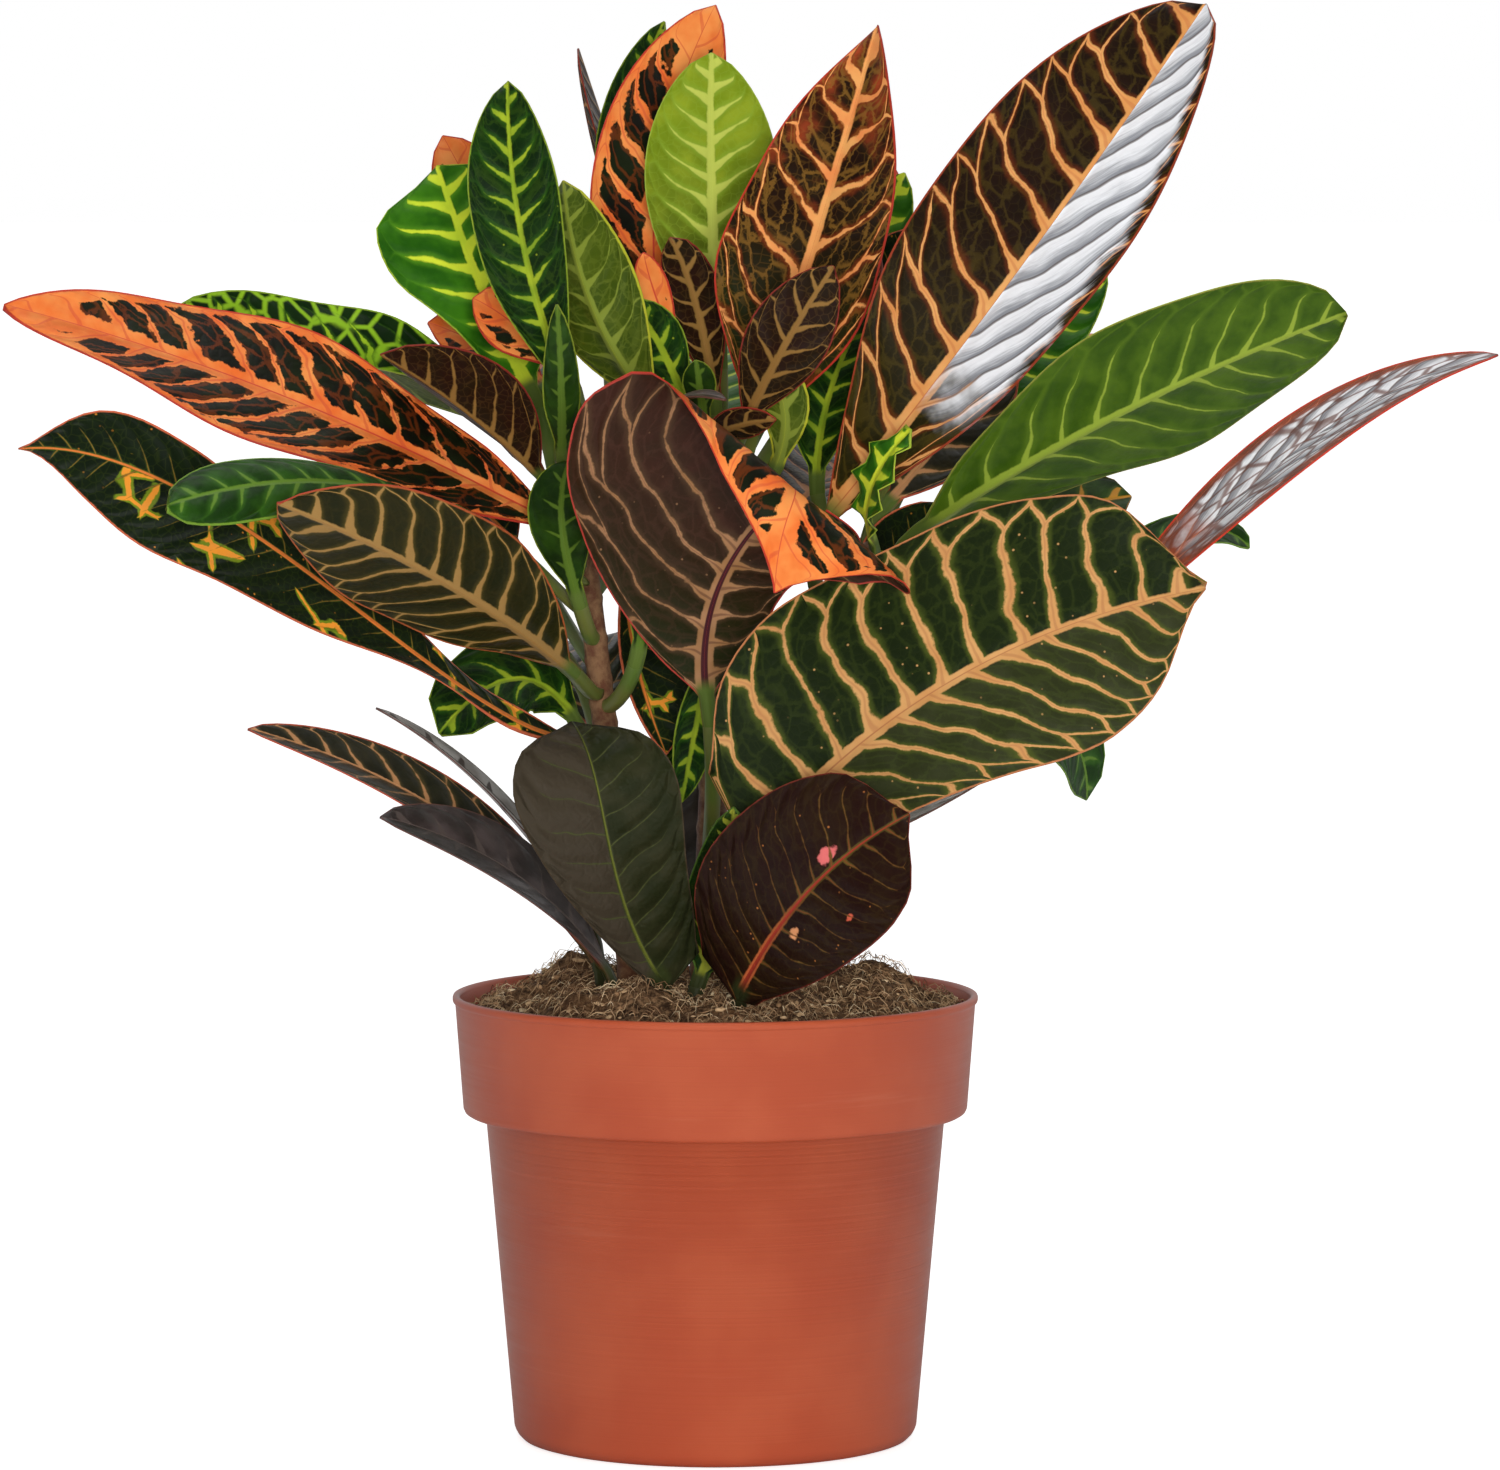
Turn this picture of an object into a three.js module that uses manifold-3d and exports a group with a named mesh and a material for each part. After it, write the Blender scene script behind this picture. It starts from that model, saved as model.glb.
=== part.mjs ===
// A potted croton: three leafy stems and low leaves stand in a filled plastic nursery pot.
// Millimetres, +Z up, -Y is the front. The origin is the middle of the pot's flat foot.
import * as THREE from "three";
import { mergeVertices } from "three/addons/utils/BufferGeometryUtils.js";
import Module from "manifold-3d";

const wasm = await Module();
wasm.setup();

// ---- Driving dimensions -------------------------------------------------------------------

const GAP = 0.3; // clearance between neighbouring pieces
const MERGE = 1e-4; // points closer than this are one

const POT = {
  height: 119,
  lipRadius: 70,
  lipHeight: 2,
  collarTop: 69.3,
  collarBottom: 67.2,
  collarHeight: 31.5,
  bodyTop: 61.2,
  bodyBottom: 53.8,
  footRadius: 50.5,
  footRound: 3.5,
  wall: 1.3,
  floor: 2.4,
  channelInner: 30,
  channelOuter: 44,
  channelRise: 1.2,
  bevel: 0.8, // at the collar's bottom and inside the rim
  rimRound: 0.4,
  sides: 32,
};
const DRAIN = { count: 6, radius: 4.5, ring: 37, sides: 8 };

const SOIL = {
  edge: 113.5, // level where the soil meets the pot wall
  crown: 8, // rise from the wall to the middle
  rings: [1, 0.8, 0.55, 0.3],
  sides: 32,
  lumps: 0.7, // height of the small lumps
  blend: 4, // how fast the heaps fade near the wall
};
// Heaps that stand out of the soil: place, rise and reach.
const HEAPS = [
  { x: -38, y: 16, rise: 8, reach: 15 },
  { x: -22, y: -4, rise: 2.5, reach: 14 },
  { x: -24, y: -38, rise: 6, reach: 17 },
  { x: 10, y: -44, rise: 1, reach: 15 },
  { x: 40, y: 4, rise: 7, reach: 18 },
];

// The petiole: half its width, its roundness, how deep it stands in the soil, and how far it
// keeps its first and last directions (start at most, and as shares of its length).
const PETIOLE = { half: 1.9, spare: 0.3, round: 1.5, buried: 12, start: 6, first: 0.35, last: 0.4 };
// The blade: its thickness, the midrib's ridge under it and how fast that fades, the share of the
// length over which it opens out of the petiole, and where its lower margin's waves begin.
const BLADE = { thick: 0.8, ridge: 1.5, fade: 1.5, opens: 1 / 6, leavesStalk: 1 / 8, shift: 1.7 };
// How finely a blade is divided, by its width: rows across it and stations along it.
const FINENESS = [
  { upTo: 18, rows: [-1, 0, 1], stations: 5 },
  { upTo: 28, rows: [-1, 0, 1], stations: 7 },
  { upTo: 42, rows: [-1, -0.45, 0, 0.45, 1], stations: 7 },
  { upTo: 100, rows: [-1, -0.45, 0, 0.45, 1], stations: 8 },
];
const PETIOLE_STATIONS = 3;

// Each stem: the points that its middle line passes, its radius at the soil and at its tip.
const STEMS = {
  left: { path: [[-19, -8, 96], [-29, -10, 190], [-38, -8, 268]], foot: 4.2, tip: 2.8 },
  middle: { path: [[-4, 4, 96], [0, 2, 190], [1, 0, 264]], foot: 4.6, tip: 3 },
  right: { path: [[13, 2, 96], [24, -4, 172], [41, -12, 240]], foot: 4, tip: 2.6 },
};
const STEM_SIDES = 8;
const STEM_STATIONS = 7;

const COLOURS = {
  orange: 0xc8652f,
  maroon: 0x4a2420,
  dark: 0x22351f,
  green: 0x3f6b22,
  lime: 0x6d8f2a,
  purple: 0x3a2a30,
  stem: 0x5b4a2c,
  soil: 0x5a4331,
  pot: 0xb7522f,
};

// ---- Leaves -------------------------------------------------------------------------------
// rib: points that the midrib passes, from the blade's base to its tip.
// face: the way the upper side looks at the base; tipFace: the same at the tip, if it turns.
// stem and node: the stem it grows from, and the height of its foot there. soil: it comes out of
// the soil. width: across the widest place. fold: degrees that each half rises from the midrib.
// left and right: share of the width that each half has. leftShares and rightShares: the same at
// even steps along the blade. widest: where, along the blade. blunt: how full the tip is. cup:
// rise of the margins. wave and waves: height and number of the margin's waves.

const LEAVES = [
  // Left side, from the top of the left stem
  { name: "left_1", look: "orange", stem: "left", node: 230, width: 46, fold: 8, wave: 1.5,
    widest: 0.5, blunt: 0.75, rib: [[-39, -18, 243], [-110, -34, 278], [-184, -44, 303]],
    face: [0.2, -0.66, 0.75] },
  { name: "left_2", look: "green", stem: "left", node: 242, width: 42, fold: 36, wave: 1,
    rib: [[-48, 22, 268], [-90, 16, 280.5], [-144, 4, 301]], face: [0.2, -0.36, 0.9] },
  { name: "left_3", look: "dark", stem: "left", node: 184, width: 44, fold: -10, wave: 1.5,
    waves: 3, leftShares: [0.1, 0.12, 0.2, 0.4, 0.7, 0.9, 0.93, 0.55, 0],
    rightShares: [0.1, 0.2, 0.3, 0.32, 0.35, 0.4, 0.5, 0.55, 0],
    rib: [[-35, -28, 188], [-76, -50, 211.5], [-126, -70, 250], [-177, -80, 267]],
    face: [0.5, -0.35, 0.8], tipFace: [0, -1, 0.25] },
  { name: "left_4", look: "green", stem: "left", node: 222, width: 19, cup: -3, widest: 0.78,
    blunt: 0.42, rib: [[-66, -56, 250], [-100, -86, 259], [-137, -108, 254]],
    face: [0.2, -0.8, 0.6] },
  { name: "left_5", look: "lime", stem: "left", node: 200, width: 41, fold: 10, wave: 1,
    rib: [[-38, -34, 208], [-68, -80, 233], [-109, -114, 255]], face: [-0.25, 0.7, 0.65] },
  { name: "left_6", look: "maroon", stem: "left", node: 240, width: 37, fold: 24,
    rib: [[-46, -12, 258], [-65, -24, 275], [-87, -34, 290]], face: [0.3, 0.45, 0.8] },
  { name: "left_7", look: "orange", stem: "left", grown: true, node: 262, width: 22, fold: 10,
    rib: [[-46, 14, 280], [-61, 20, 290], [-77, 20, 297]], face: [0, -0.7, 0.7] },
  { name: "left_8", look: "green", stem: "left", node: 246, width: 50, fold: 12, wave: 1.5,
    widest: 0.6, blunt: 0.5, leftShares: [0.15, 0.25, 0.34, 0.45, 0.62, 0.82, 0.88, 0.75, 0],
    rib: [[-49, 0, 280], [-62, 4, 307], [-74, 10, 339]], face: [-0.1, -0.9, 0.3] },
  { name: "left_9", look: "green", stem: "left", grown: true, node: 250, width: 25, fold: 16,
    wave: 1, widest: 0.62, rib: [[-38, -18, 279], [-50, -28, 319], [-54, -24, 361]],
    face: [-0.1, -0.95, 0.1] },
  { name: "left_10", look: "lime", stem: "left", grown: true, node: 260, width: 10, fold: 8,
    widest: 0.4, rib: [[-40, -24, 264], [-40, -32, 283], [-41, -34, 303]], face: [0, 1, 0.3] },
  { name: "left_11", look: "orange", stem: "left", node: 258, width: 28, fold: 10,
    rib: [[-40, 26, 284], [-57, 38, 316], [-74, 50, 347]], face: [0, -0.9, 0.4] },
  { name: "left_12", look: "green", stem: "left", node: 178, width: 30, fold: 8, wave: 1.5,
    blunt: 0.5, rib: [[-38, 0, 193], [-54, -4, 203], [-73, -10, 189]], face: [0, -0.7, 0.7] },
  { name: "left_13", look: "dark", stem: "left", node: 186, width: 22, fold: 8,
    rib: [[-44, 20, 211], [-62, 25, 222], [-84, 32, 229]], face: [0, -0.75, 0.65] },
  { name: "left_14", look: "dark", stem: "left", node: 238, width: 24, fold: 14, left: 1.15,
    right: 0.4, rib: [[-24, 6, 232], [-21, 5, 207], [-13, -4, 183]], face: [0.3, -0.95, 0] },
  { name: "left_15", look: "lime", stem: "left", grown: true, node: 214, width: 18, fold: 8,
    rib: [[-36, -24, 226], [-40, -30, 247], [-38, -26, 262]], face: [0, 1, 0.1] },
  { name: "left_16", look: "lime", stem: "left", grown: true, node: 196, width: 18, fold: 8,
    rib: [[-20, -30, 212], [-15, -36, 237], [-10, -34, 260]], face: [0, 1, 0.2] },
  { name: "left_17", look: "orange", stem: "left", grown: true, node: 262, width: 20, fold: 10,
    rib: [[-42, -6, 286], [-53, -6, 297], [-64, -6, 304]], face: [0, -0.8, 0.6] },

  // Crown, from the top of the middle stem
  { name: "crown_1", look: "lime", stem: "middle", grown: true, node: 254, width: 28, fold: 12,
    rib: [[-15, -8, 275], [-32, -14, 302], [-40, -4, 335]], face: [0.3, 0.9, 0.3] },
  { name: "crown_2", look: "maroon", stem: "middle", grown: true, node: 250, width: 22, fold: 20,
    rib: [[-16, 54, 300], [-26, 68, 334], [-38, 82, 371]], face: [-0.95, 0.1, 0.3] },
  { name: "crown_3", look: "green", stem: "middle", grown: true, node: 248, width: 18, fold: 16,
    rib: [[-15, 40, 294], [-24, 50, 338], [-14, 60, 378]], face: [-0.3, -0.9, 0.1] },
  { name: "crown_4", look: "orange", stem: "middle", grown: true, node: 252, width: 36, fold: 14,
    wave: 1, rib: [[-10, 20, 280], [-16, 28, 330], [0, 34, 382]], face: [-0.1, -0.95, 0.2] },
  { name: "crown_5", look: "lime", stem: "middle", node: 258, width: 36, fold: 8,
    rib: [[1, 16, 290], [-1, 18, 332], [-1, 18, 369]], face: [0, 1, 0.1] },
  { name: "crown_6", look: "orange", stem: "middle", grown: true, node: 250, width: 47, fold: 18,
    wave: 1.5, widest: 0.45, blunt: 0.85, rib: [[11, -7, 272], [26, -10, 318], [43, 2, 376]],
    face: [-0.3, -0.95, 0.2] },
  { name: "crown_7", look: "maroon", stem: "middle", grown: true, node: 258, width: 15,
    blunt: 0.5, rib: [[0, 3, 276], [-5, 4, 302], [-12, 5, 320]], face: [0, 1, 0.1] },
  { name: "crown_8", look: "maroon", stem: "middle", grown: true, node: 256, width: 22,
    rib: [[8, -22, 272], [18, -34, 292], [31, -36, 313]], face: [0, 1, 0.2] },
  { name: "crown_9", look: "maroon", stem: "middle", grown: true, node: 257, width: 14, fold: 20,
    rib: [[14, -1, 274], [31, 4, 297], [44, 10, 315]], face: [-0.2, -0.9, 0.4] },
  { name: "crown_10", look: "dark", stem: "middle", grown: true, node: 260, width: 7,
    rib: [[-15, -18, 275], [-6, -26, 279], [3, -32, 278]], face: [0, -0.3, 1] },
  { name: "crown_11", look: "maroon", stem: "middle", grown: true, node: 256, width: 10,
    rib: [[-2, -16, 267], [5, -26, 271], [16, -32, 273]], face: [0, 0.9, 0.4] },
  { name: "crown_12", look: "lime", stem: "middle", grown: true, node: 257, width: 14,
    rib: [[16, -16, 260], [18, -24, 277], [9, -24, 290]], face: [0, 1, 0] },
  { name: "crown_13", look: "lime", stem: "middle", grown: true, node: 258, width: 9,
    rib: [[-3, -8, 272], [-4, -12, 281], [-5, -14, 288]], face: [0, 1, 0] },
  { name: "crown_14", look: "dark", stem: "middle", grown: true, node: 256, width: 15,
    rib: [[-8, 0, 276], [-15, 2, 292], [-23, 4, 303]], face: [0, -0.9, 0.4] },
  { name: "crown_15", look: "lime", stem: "middle", grown: true, node: 258, width: 9,
    rib: [[-10, 4, 290], [-16, 5, 305], [-19, 6, 316]], face: [0, -1, 0.2] },
  { name: "crown_16", look: "lime", stem: "middle", node: 240, width: 20, fold: 8,
    rib: [[26, 30, 286], [39, 36, 312], [51, 42, 337]], face: [0, -1, 0.2] },
  { name: "crown_17", look: "dark", stem: "middle", grown: true, node: 246, width: 20, fold: 8,
    rib: [[18, 16, 268], [37, 22, 296], [51, 26, 322]], face: [0.2, -0.9, 0.4] },

  // Right side, from the top of the right stem
  { name: "right_1", look: "orange", stem: "right", node: 218, width: 62, fold: 14, wave: 1.5,
    widest: 0.58, blunt: 0.52, left: 1.03, right: 0.74,
    rib: [[29, -26, 246], [77, -38, 309], [128, -28, 381]], face: [-0.3, -0.9, 0.15] },
  { name: "right_2", look: "lime", stem: "right", node: 211, width: 50, fold: 8, wave: 1,
    widest: 0.62, blunt: 0.5, rib: [[54, -21, 244], [105, -40, 275], [164, -40, 301]],
    face: [-0.2, 0.8, 0.6] },
  { name: "right_3", look: "dark", stem: "right", node: 200, width: 27, fold: 10,
    rib: [[96, 10, 207], [132, 18, 243], [170, 28, 272], [211, 36, 288]], face: [-0.1, -0.35, 0.93]
    },
  { name: "right_4", look: "dark", stem: "right", node: 232, width: 24, fold: 14,
    rib: [[27, 2, 256], [31, 6, 280], [42, 12, 303]], face: [-0.3, -0.9, 0.2] },
  { name: "right_5", look: "green", stem: "right", node: 184, width: 26, fold: 8,
    rib: [[62, -12, 192], [90, -6, 191], [99, 8, 170]], face: [0.3, -0.75, 0.6] },
  { name: "right_6", look: "green", stem: "right", node: 210, width: 30, fold: 8, blunt: 0.45,
    rib: [[52, 12, 238], [82, 24, 245], [112, 30, 250]], face: [0, -0.6, 0.8] },
  { name: "right_7", look: "dark", stem: "right", grown: true, node: 212, width: 20, fold: 8,
    rib: [[38, -10, 224], [48, -8, 236], [60, -6, 250]], face: [0, -0.8, 0.5] },
  { name: "right_8", look: "green", stem: "right", grown: true, node: 236, width: 15, wave: 2,
    waves: 4, rib: [[41, -34, 241], [41, -44, 256], [51, -48, 271]], face: [-0.8, -0.5, 0.2] },
  { name: "right_9", look: "dark", stem: "right", node: 180, width: 16, fold: 8,
    rib: [[90, 32, 222], [126, 46, 239], [145, 50, 235]], face: [0, -0.5, 0.8] },
  { name: "right_10", look: "lime", stem: "right", grown: true, node: 224, width: 26, fold: 8,
    rib: [[52, 6, 262], [78, 20, 286], [105, 32, 312]], face: [0, -0.9, 0.4] },
  { name: "right_11", look: "dark", stem: "right", grown: true, node: 234, width: 24,
    rib: [[46, 0, 250], [62, 6, 268], [80, 10, 288]], face: [0, -0.9, 0.4] },
  { name: "right_12", look: "orange", stem: "right", grown: true, node: 234, width: 7,
    rib: [[38, -36, 238], [34, -44, 245], [29, -50, 250]], face: [0, -0.4, 0.9] },

  // Front and middle heights
  { name: "front_1", look: "maroon", stem: "middle", node: 158, width: 60, fold: 3,
    leftShares: [0.07, 0.35, 0.5, 0.53, 0.6, 0.88, 1.12, 1.23, 0],
    rightShares: [0.07, 0.4, 0.8, 1.25, 1.68, 1.75, 0.8, 0.23, 0], fine: {
    rows: [-1, -0.7, -0.35, 0, 0.35, 0.7, 1], stations: 14 },
    rib: [[-2, -35, 201], [0, -44, 227], [15, -65, 251], [44.5, -72, 268.4]], face: [0, 0.95, 0.3],
    tipFace: [0, 1, 0] },
  { name: "front_2", look: "dark", stem: "right", node: 146, width: 74, fold: 4, wave: 5,
    waves: 1, blunt: 0.45, leftShares: [0.6, 0.95, 1.11, 1.09, 1.05, 1.02, 0.92, 0.7, 0],
    rightShares: [0.3, 0.5, 0.62, 0.72, 0.8, 0.86, 0.82, 0.58, 0],
    rib: [[14, -56, 167], [64, -70, 209], [126, -70, 231]], face: [0, -0.93, 0.3] },
  { name: "front_3", look: "dark", stem: "right", node: 140, width: 16, fold: 6,
    rib: [[26, -12, 155], [49, -6, 169], [78, 0, 181]], face: [0, -0.5, 0.85] },
  { name: "front_4", look: "lime", stem: "middle", grown: true, node: 214, width: 9,
    rib: [[-14, 18, 208], [-12, 18, 189], [-8, 16, 171]], face: [0, -1, 0.1] },
  { name: "front_5", look: "lime", stem: "middle", grown: true, node: 216, width: 12,
    rib: [[-1, -8, 212], [-5, -10, 192], [-9, -12, 171]], face: [0.4, -0.9, 0.1] },

  // Low leaves, out of the soil
  { name: "low_1", look: "purple", soil: [-14, -31], width: 42, fold: 8, widest: 0.66,
    blunt: 0.42, leftShares: [0.15, 0.3, 0.5, 0.72, 0.92, 1.08, 1.1, 0.8, 0],
    rightShares: [0.6, 0.76, 0.85, 0.92, 0.98, 1, 0.92, 0.66, 0],
    rib: [[-14, -35, 126], [-25, -50, 153], [-30, -60, 178], [-37, -48, 195]],
    face: [0, -0.95, 0.3], tipFace: [0, -0.3, 0.95] },
  { name: "low_2", look: "maroon", soil: [7, -41], width: 53, fold: 5, widest: 0.5, blunt: 0.55,
    leftShares: [0.55, 0.86, 1.02, 1.05, 1.02, 0.96, 0.84, 0.62, 0],
    rightShares: [0.2, 0.42, 0.62, 0.76, 0.84, 0.88, 0.84, 0.64, 0],
    rib: [[7, -44, 124], [25, -72.5, 154], [50, -82, 174]], face: [-0.1, -0.9, 0.35] },
  { name: "low_3", look: "green", soil: [-6, -31], width: 20, fold: 12, blunt: 0.5, widest: 0.45,
    rib: [[-4, -30, 126], [2, -37.5, 148], [5, -62, 174]], face: [0, -0.95, 0.2] },
  { name: "low_4", look: "dark", soil: [-31, -15], width: 27, fold: 14,
    rib: [[-33, -14, 132], [-72, -12, 168], [-123, -20, 191]], face: [0.3, -0.4, 0.87] },
  { name: "low_5", look: "purple", soil: [-30, -28], width: 31, fold: 12,
    rib: [[-28, -28, 128], [-53, -36, 154.5], [-87, -46, 170]], face: [0.45, -0.35, 0.8] },
  { name: "low_6", look: "dark", soil: [-31, 4], width: 15, fold: 10,
    rib: [[-34, 4, 139], [-60, 14, 171], [-91, 16, 194]], face: [0.6, -0.1, 0.8] },
  { name: "low_7", look: "purple", soil: [-12, 26], width: 38, fold: 10,
    rib: [[-12, 28, 128], [-18, 52, 156], [-26, 80, 174]], face: [0, -0.7, 0.7] },
  { name: "low_8", look: "maroon", soil: [18, 24], width: 38, fold: 10,
    rib: [[18, 26, 126], [28, 50, 152], [36, 76, 168]], face: [0, -0.7, 0.7] },

  // Back, where the front view doesn't reach
  { name: "back_1", look: "orange", stem: "left", node: 234, width: 44, fold: 10, wave: 1.5,
    rib: [[-40, 26, 262], [-62, 76, 278], [-78, 128, 282]], face: [0, -0.3, 0.95] },
  { name: "back_2", look: "dark", stem: "left", node: 226, width: 42, fold: 10, wave: 1.5,
    rib: [[-26, 26, 244], [-30, 88, 264], [-34, 150, 258]], face: [0, -0.2, 0.95] },
  { name: "back_3", look: "green", stem: "middle", node: 204, width: 46, fold: 10, wave: 1.5,
    rib: [[-2, 34, 252], [-2, 96, 284], [-2, 160, 290]], face: [0, -0.4, 0.9] },
  { name: "back_4", look: "maroon", stem: "middle", node: 188, width: 44, fold: 10, wave: 1.5,
    rib: [[12, 18, 236], [38, 84, 258], [58, 150, 252]], face: [0, -0.2, 0.95] },
  { name: "back_5", look: "orange", stem: "right", node: 222, width: 46, fold: 10, wave: 1.5,
    rib: [[52, 26, 256], [76, 68, 282], [98, 122, 290]], face: [0, -0.3, 0.95] },
  { name: "back_6", look: "dark", stem: "left", node: 208, width: 40, fold: 10, wave: 1.5,
    rib: [[-54, 38, 236], [-78, 66, 254], [-108, 98, 260]], face: [0.2, -0.3, 0.9] },
  { name: "back_7", look: "green", stem: "left", node: 250, width: 30, fold: 10, wave: 1,
    rib: [[-30, 34, 290], [-40, 64, 308], [-48, 98, 322]], face: [0, -0.7, 0.7] },
  { name: "back_8", look: "orange", stem: "middle", node: 232, width: 40, fold: 10, wave: 1,
    rib: [[14, 40, 288], [28, 74, 320], [44, 104, 342]], face: [0, -0.7, 0.7] },
  { name: "back_9", look: "dark", stem: "left", node: 174, width: 38, fold: 10, wave: 1.5,
    rib: [[-30, 14, 186], [-42, 58, 206], [-52, 108, 200]], face: [0, -0.2, 0.95] },
  { name: "back_10", look: "green", stem: "right", node: 174, width: 42, fold: 10, wave: 1.5,
    rib: [[30, 14, 186], [48, 62, 208], [64, 112, 200]], face: [0, -0.2, 0.95] },
  { name: "back_11", look: "maroon", stem: "middle", node: 176, width: 44, fold: 10, wave: 1.5,
    rib: [[0, 18, 202], [0, 76, 226], [2, 130, 216]], face: [0, -0.2, 0.95] },
];

// The front leaf's top half rolls over towards the front about a slanting line.
const ROLL = { at: [-20, -72, 276], along: [0.79, 0, -0.61], over: [0, -1, 0], radius: 6, turn: 165 };
const ROLLED = "front_1";

// ---- Small tools ----------------------------------------------------------------------------

const radians = THREE.MathUtils.degToRad;
const vector = (xyz) => new THREE.Vector3(...xyz);

// A closed geometry or a manifold solid, as the other.
function solidOf(geometry) {
  const bare = geometry.clone();
  bare.deleteAttribute("normal");
  bare.deleteAttribute("uv");
  const merged = mergeVertices(bare, MERGE);
  const vertProperties = merged.attributes.position.array;
  return new wasm.Manifold(
    new wasm.Mesh({ numProp: 3, vertProperties, triVerts: new Uint32Array(merged.index.array) }),
  );
}

function geometryOf(solid) {
  const mesh = solid.getMesh();
  const geometry = new THREE.BufferGeometry();
  geometry.setAttribute("position", new THREE.BufferAttribute(mesh.vertProperties, 3));
  geometry.setIndex(new THREE.BufferAttribute(mesh.triVerts, 1));
  return geometry;
}

// The smooth curve through evenly timed points, by repeated blending of neighbours.
function curvePoint(points, time) {
  const level = points.map(vector);
  const last = points.length - 1;
  for (let span = 1; span <= last; span++) {
    for (let i = 0; i <= last - span; i++) {
      level[i] = level[i].clone().lerp(level[i + 1], (time * last - i) / span);
    }
  }
  return level[0];
}

function curveDirection(points, time) {
  const step = 0.01;
  return curvePoint(points, time + step).sub(curvePoint(points, time - step)).normalize();
}

// A closed skin over rings of points: each ring is a front row and the same row coming back.
function loft(rings) {
  const around = rings[0].length;
  const positions = rings.flat().flatMap((point) => point.toArray());
  const faces = [];
  const quad = (a, b, c, d) => faces.push(a, c, b, a, d, c);
  for (let ring = 0; ring < rings.length - 1; ring++) {
    for (let i = 0; i < around; i++) {
      const next = (i + 1) % around;
      const [low, high] = [ring * around, (ring + 1) * around];
      // Both faces of a blade take the same diagonal.
      if (i < around / 2 - 1) quad(low + i, high + i, high + next, low + next);
      else quad(high + next, low + next, low + i, high + i);
    }
  }
  const end = (rings.length - 1) * around;
  for (let i = 0; i < around / 2 - 1; i++) {
    const [far, farNext] = [around - 1 - i, around - 2 - i];
    quad(i, i + 1, farNext, far);
    quad(end + i, end + far, end + farNext, end + i + 1);
  }
  const geometry = new THREE.BufferGeometry();
  geometry.setAttribute("position", new THREE.Float32BufferAttribute(positions, 3));
  geometry.setIndex(faces);
  return geometry;
}

// ---- Stems ----------------------------------------------------------------------------------

const stemTime = (stem, height) => {
  let [low, high] = [0, 1];
  for (let step = 0; step < 24; step++) {
    const middle = (low + high) / 2;
    if (curvePoint(stem.path, middle).z < height) low = middle;
    else high = middle;
  }
  return (low + high) / 2;
};

const stemRadius = (stem, time) => THREE.MathUtils.lerp(stem.foot, stem.tip, time);

function tube(path, radiusAt, sides, stations) {
  const rings = [];
  for (let station = 0; station <= stations; station++) {
    const time = station / stations;
    const forward = curveDirection(path, time);
    const side = new THREE.Vector3(1, 0, 0).cross(forward).normalize();
    const front = forward.clone().cross(side);
    const middle = curvePoint(path, time);
    const ring = [];
    for (let i = 0; i < sides; i++) {
      const turn = (2 * Math.PI * i) / sides;
      const reach = radiusAt(time);
      ring.push(
        middle.clone()
          .addScaledVector(side, reach * Math.cos(turn))
          .addScaledVector(front, reach * Math.sin(turn)),
      );
    }
    rings.push(ring);
  }
  return loft(rings);
}

const stemSolid = (stem) =>
  solidOf(tube(stem.path, (time) => stemRadius(stem, time), STEM_SIDES, STEM_STATIONS));

// ---- Leaves, as solids ----------------------------------------------------------------------

// Where a leaf's foot is: on its stem, inside it when it has grown together, or in the soil.
function footOf(leaf) {
  if (leaf.soil) {
    return new THREE.Vector3(leaf.soil[0], leaf.soil[1], soilLevel(...leaf.soil) - PETIOLE.buried);
  }
  const stem = STEMS[leaf.stem];
  const time = stemTime(stem, leaf.node);
  const middle = curvePoint(stem.path, time);
  const outward = outwardOf(leaf);
  return middle.addScaledVector(outward, leaf.grown ? 0 : stemRadius(stem, time) + GAP);
}

// The way that a leaf leaves its stem, square to it, or straight up out of the soil.
function outwardOf(leaf) {
  if (leaf.soil) return new THREE.Vector3(0, 0, 1);
  const stem = STEMS[leaf.stem];
  const time = stemTime(stem, leaf.node);
  const grain = curveDirection(stem.path, time);
  const outward = vector(leaf.rib[0]).sub(curvePoint(stem.path, time));
  return outward.addScaledVector(grain, -outward.dot(grain)).normalize();
}

// The petiole runs from the foot and meets the blade along the midrib.
function petiolePath(leaf) {
  const foot = footOf(leaf);
  const base = vector(leaf.rib[0]);
  const reach = foot.distanceTo(base);
  const start = foot.clone().addScaledVector(outwardOf(leaf), Math.min(PETIOLE.first * reach, PETIOLE.start));
  const end = base.clone().addScaledVector(curveDirection(leaf.rib, 0), -PETIOLE.last * reach);
  return new THREE.CubicBezierCurve3(foot, start, end, base);
}

// Share of the full width at a place along one half of the blade: its own shares where it has
// them, and otherwise a narrow base, widest past the middle.
function widthShare(leaf, along, shares) {
  if (shares) {
    const curve = new THREE.SplineCurve(shares.map((share, i) => new THREE.Vector2(i, share)));
    return curve.getPoint(THREE.MathUtils.clamp(along, 0, 1)).y;
  }
  const { widest = 0.55, blunt = 0.62 } = leaf;
  const quarter = Math.PI / 2;
  if (along < widest) return Math.sin((quarter * along) / widest) ** 0.95;
  return Math.max(0, Math.cos((quarter * (along - widest)) / (1 - widest))) ** blunt;
}

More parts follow.
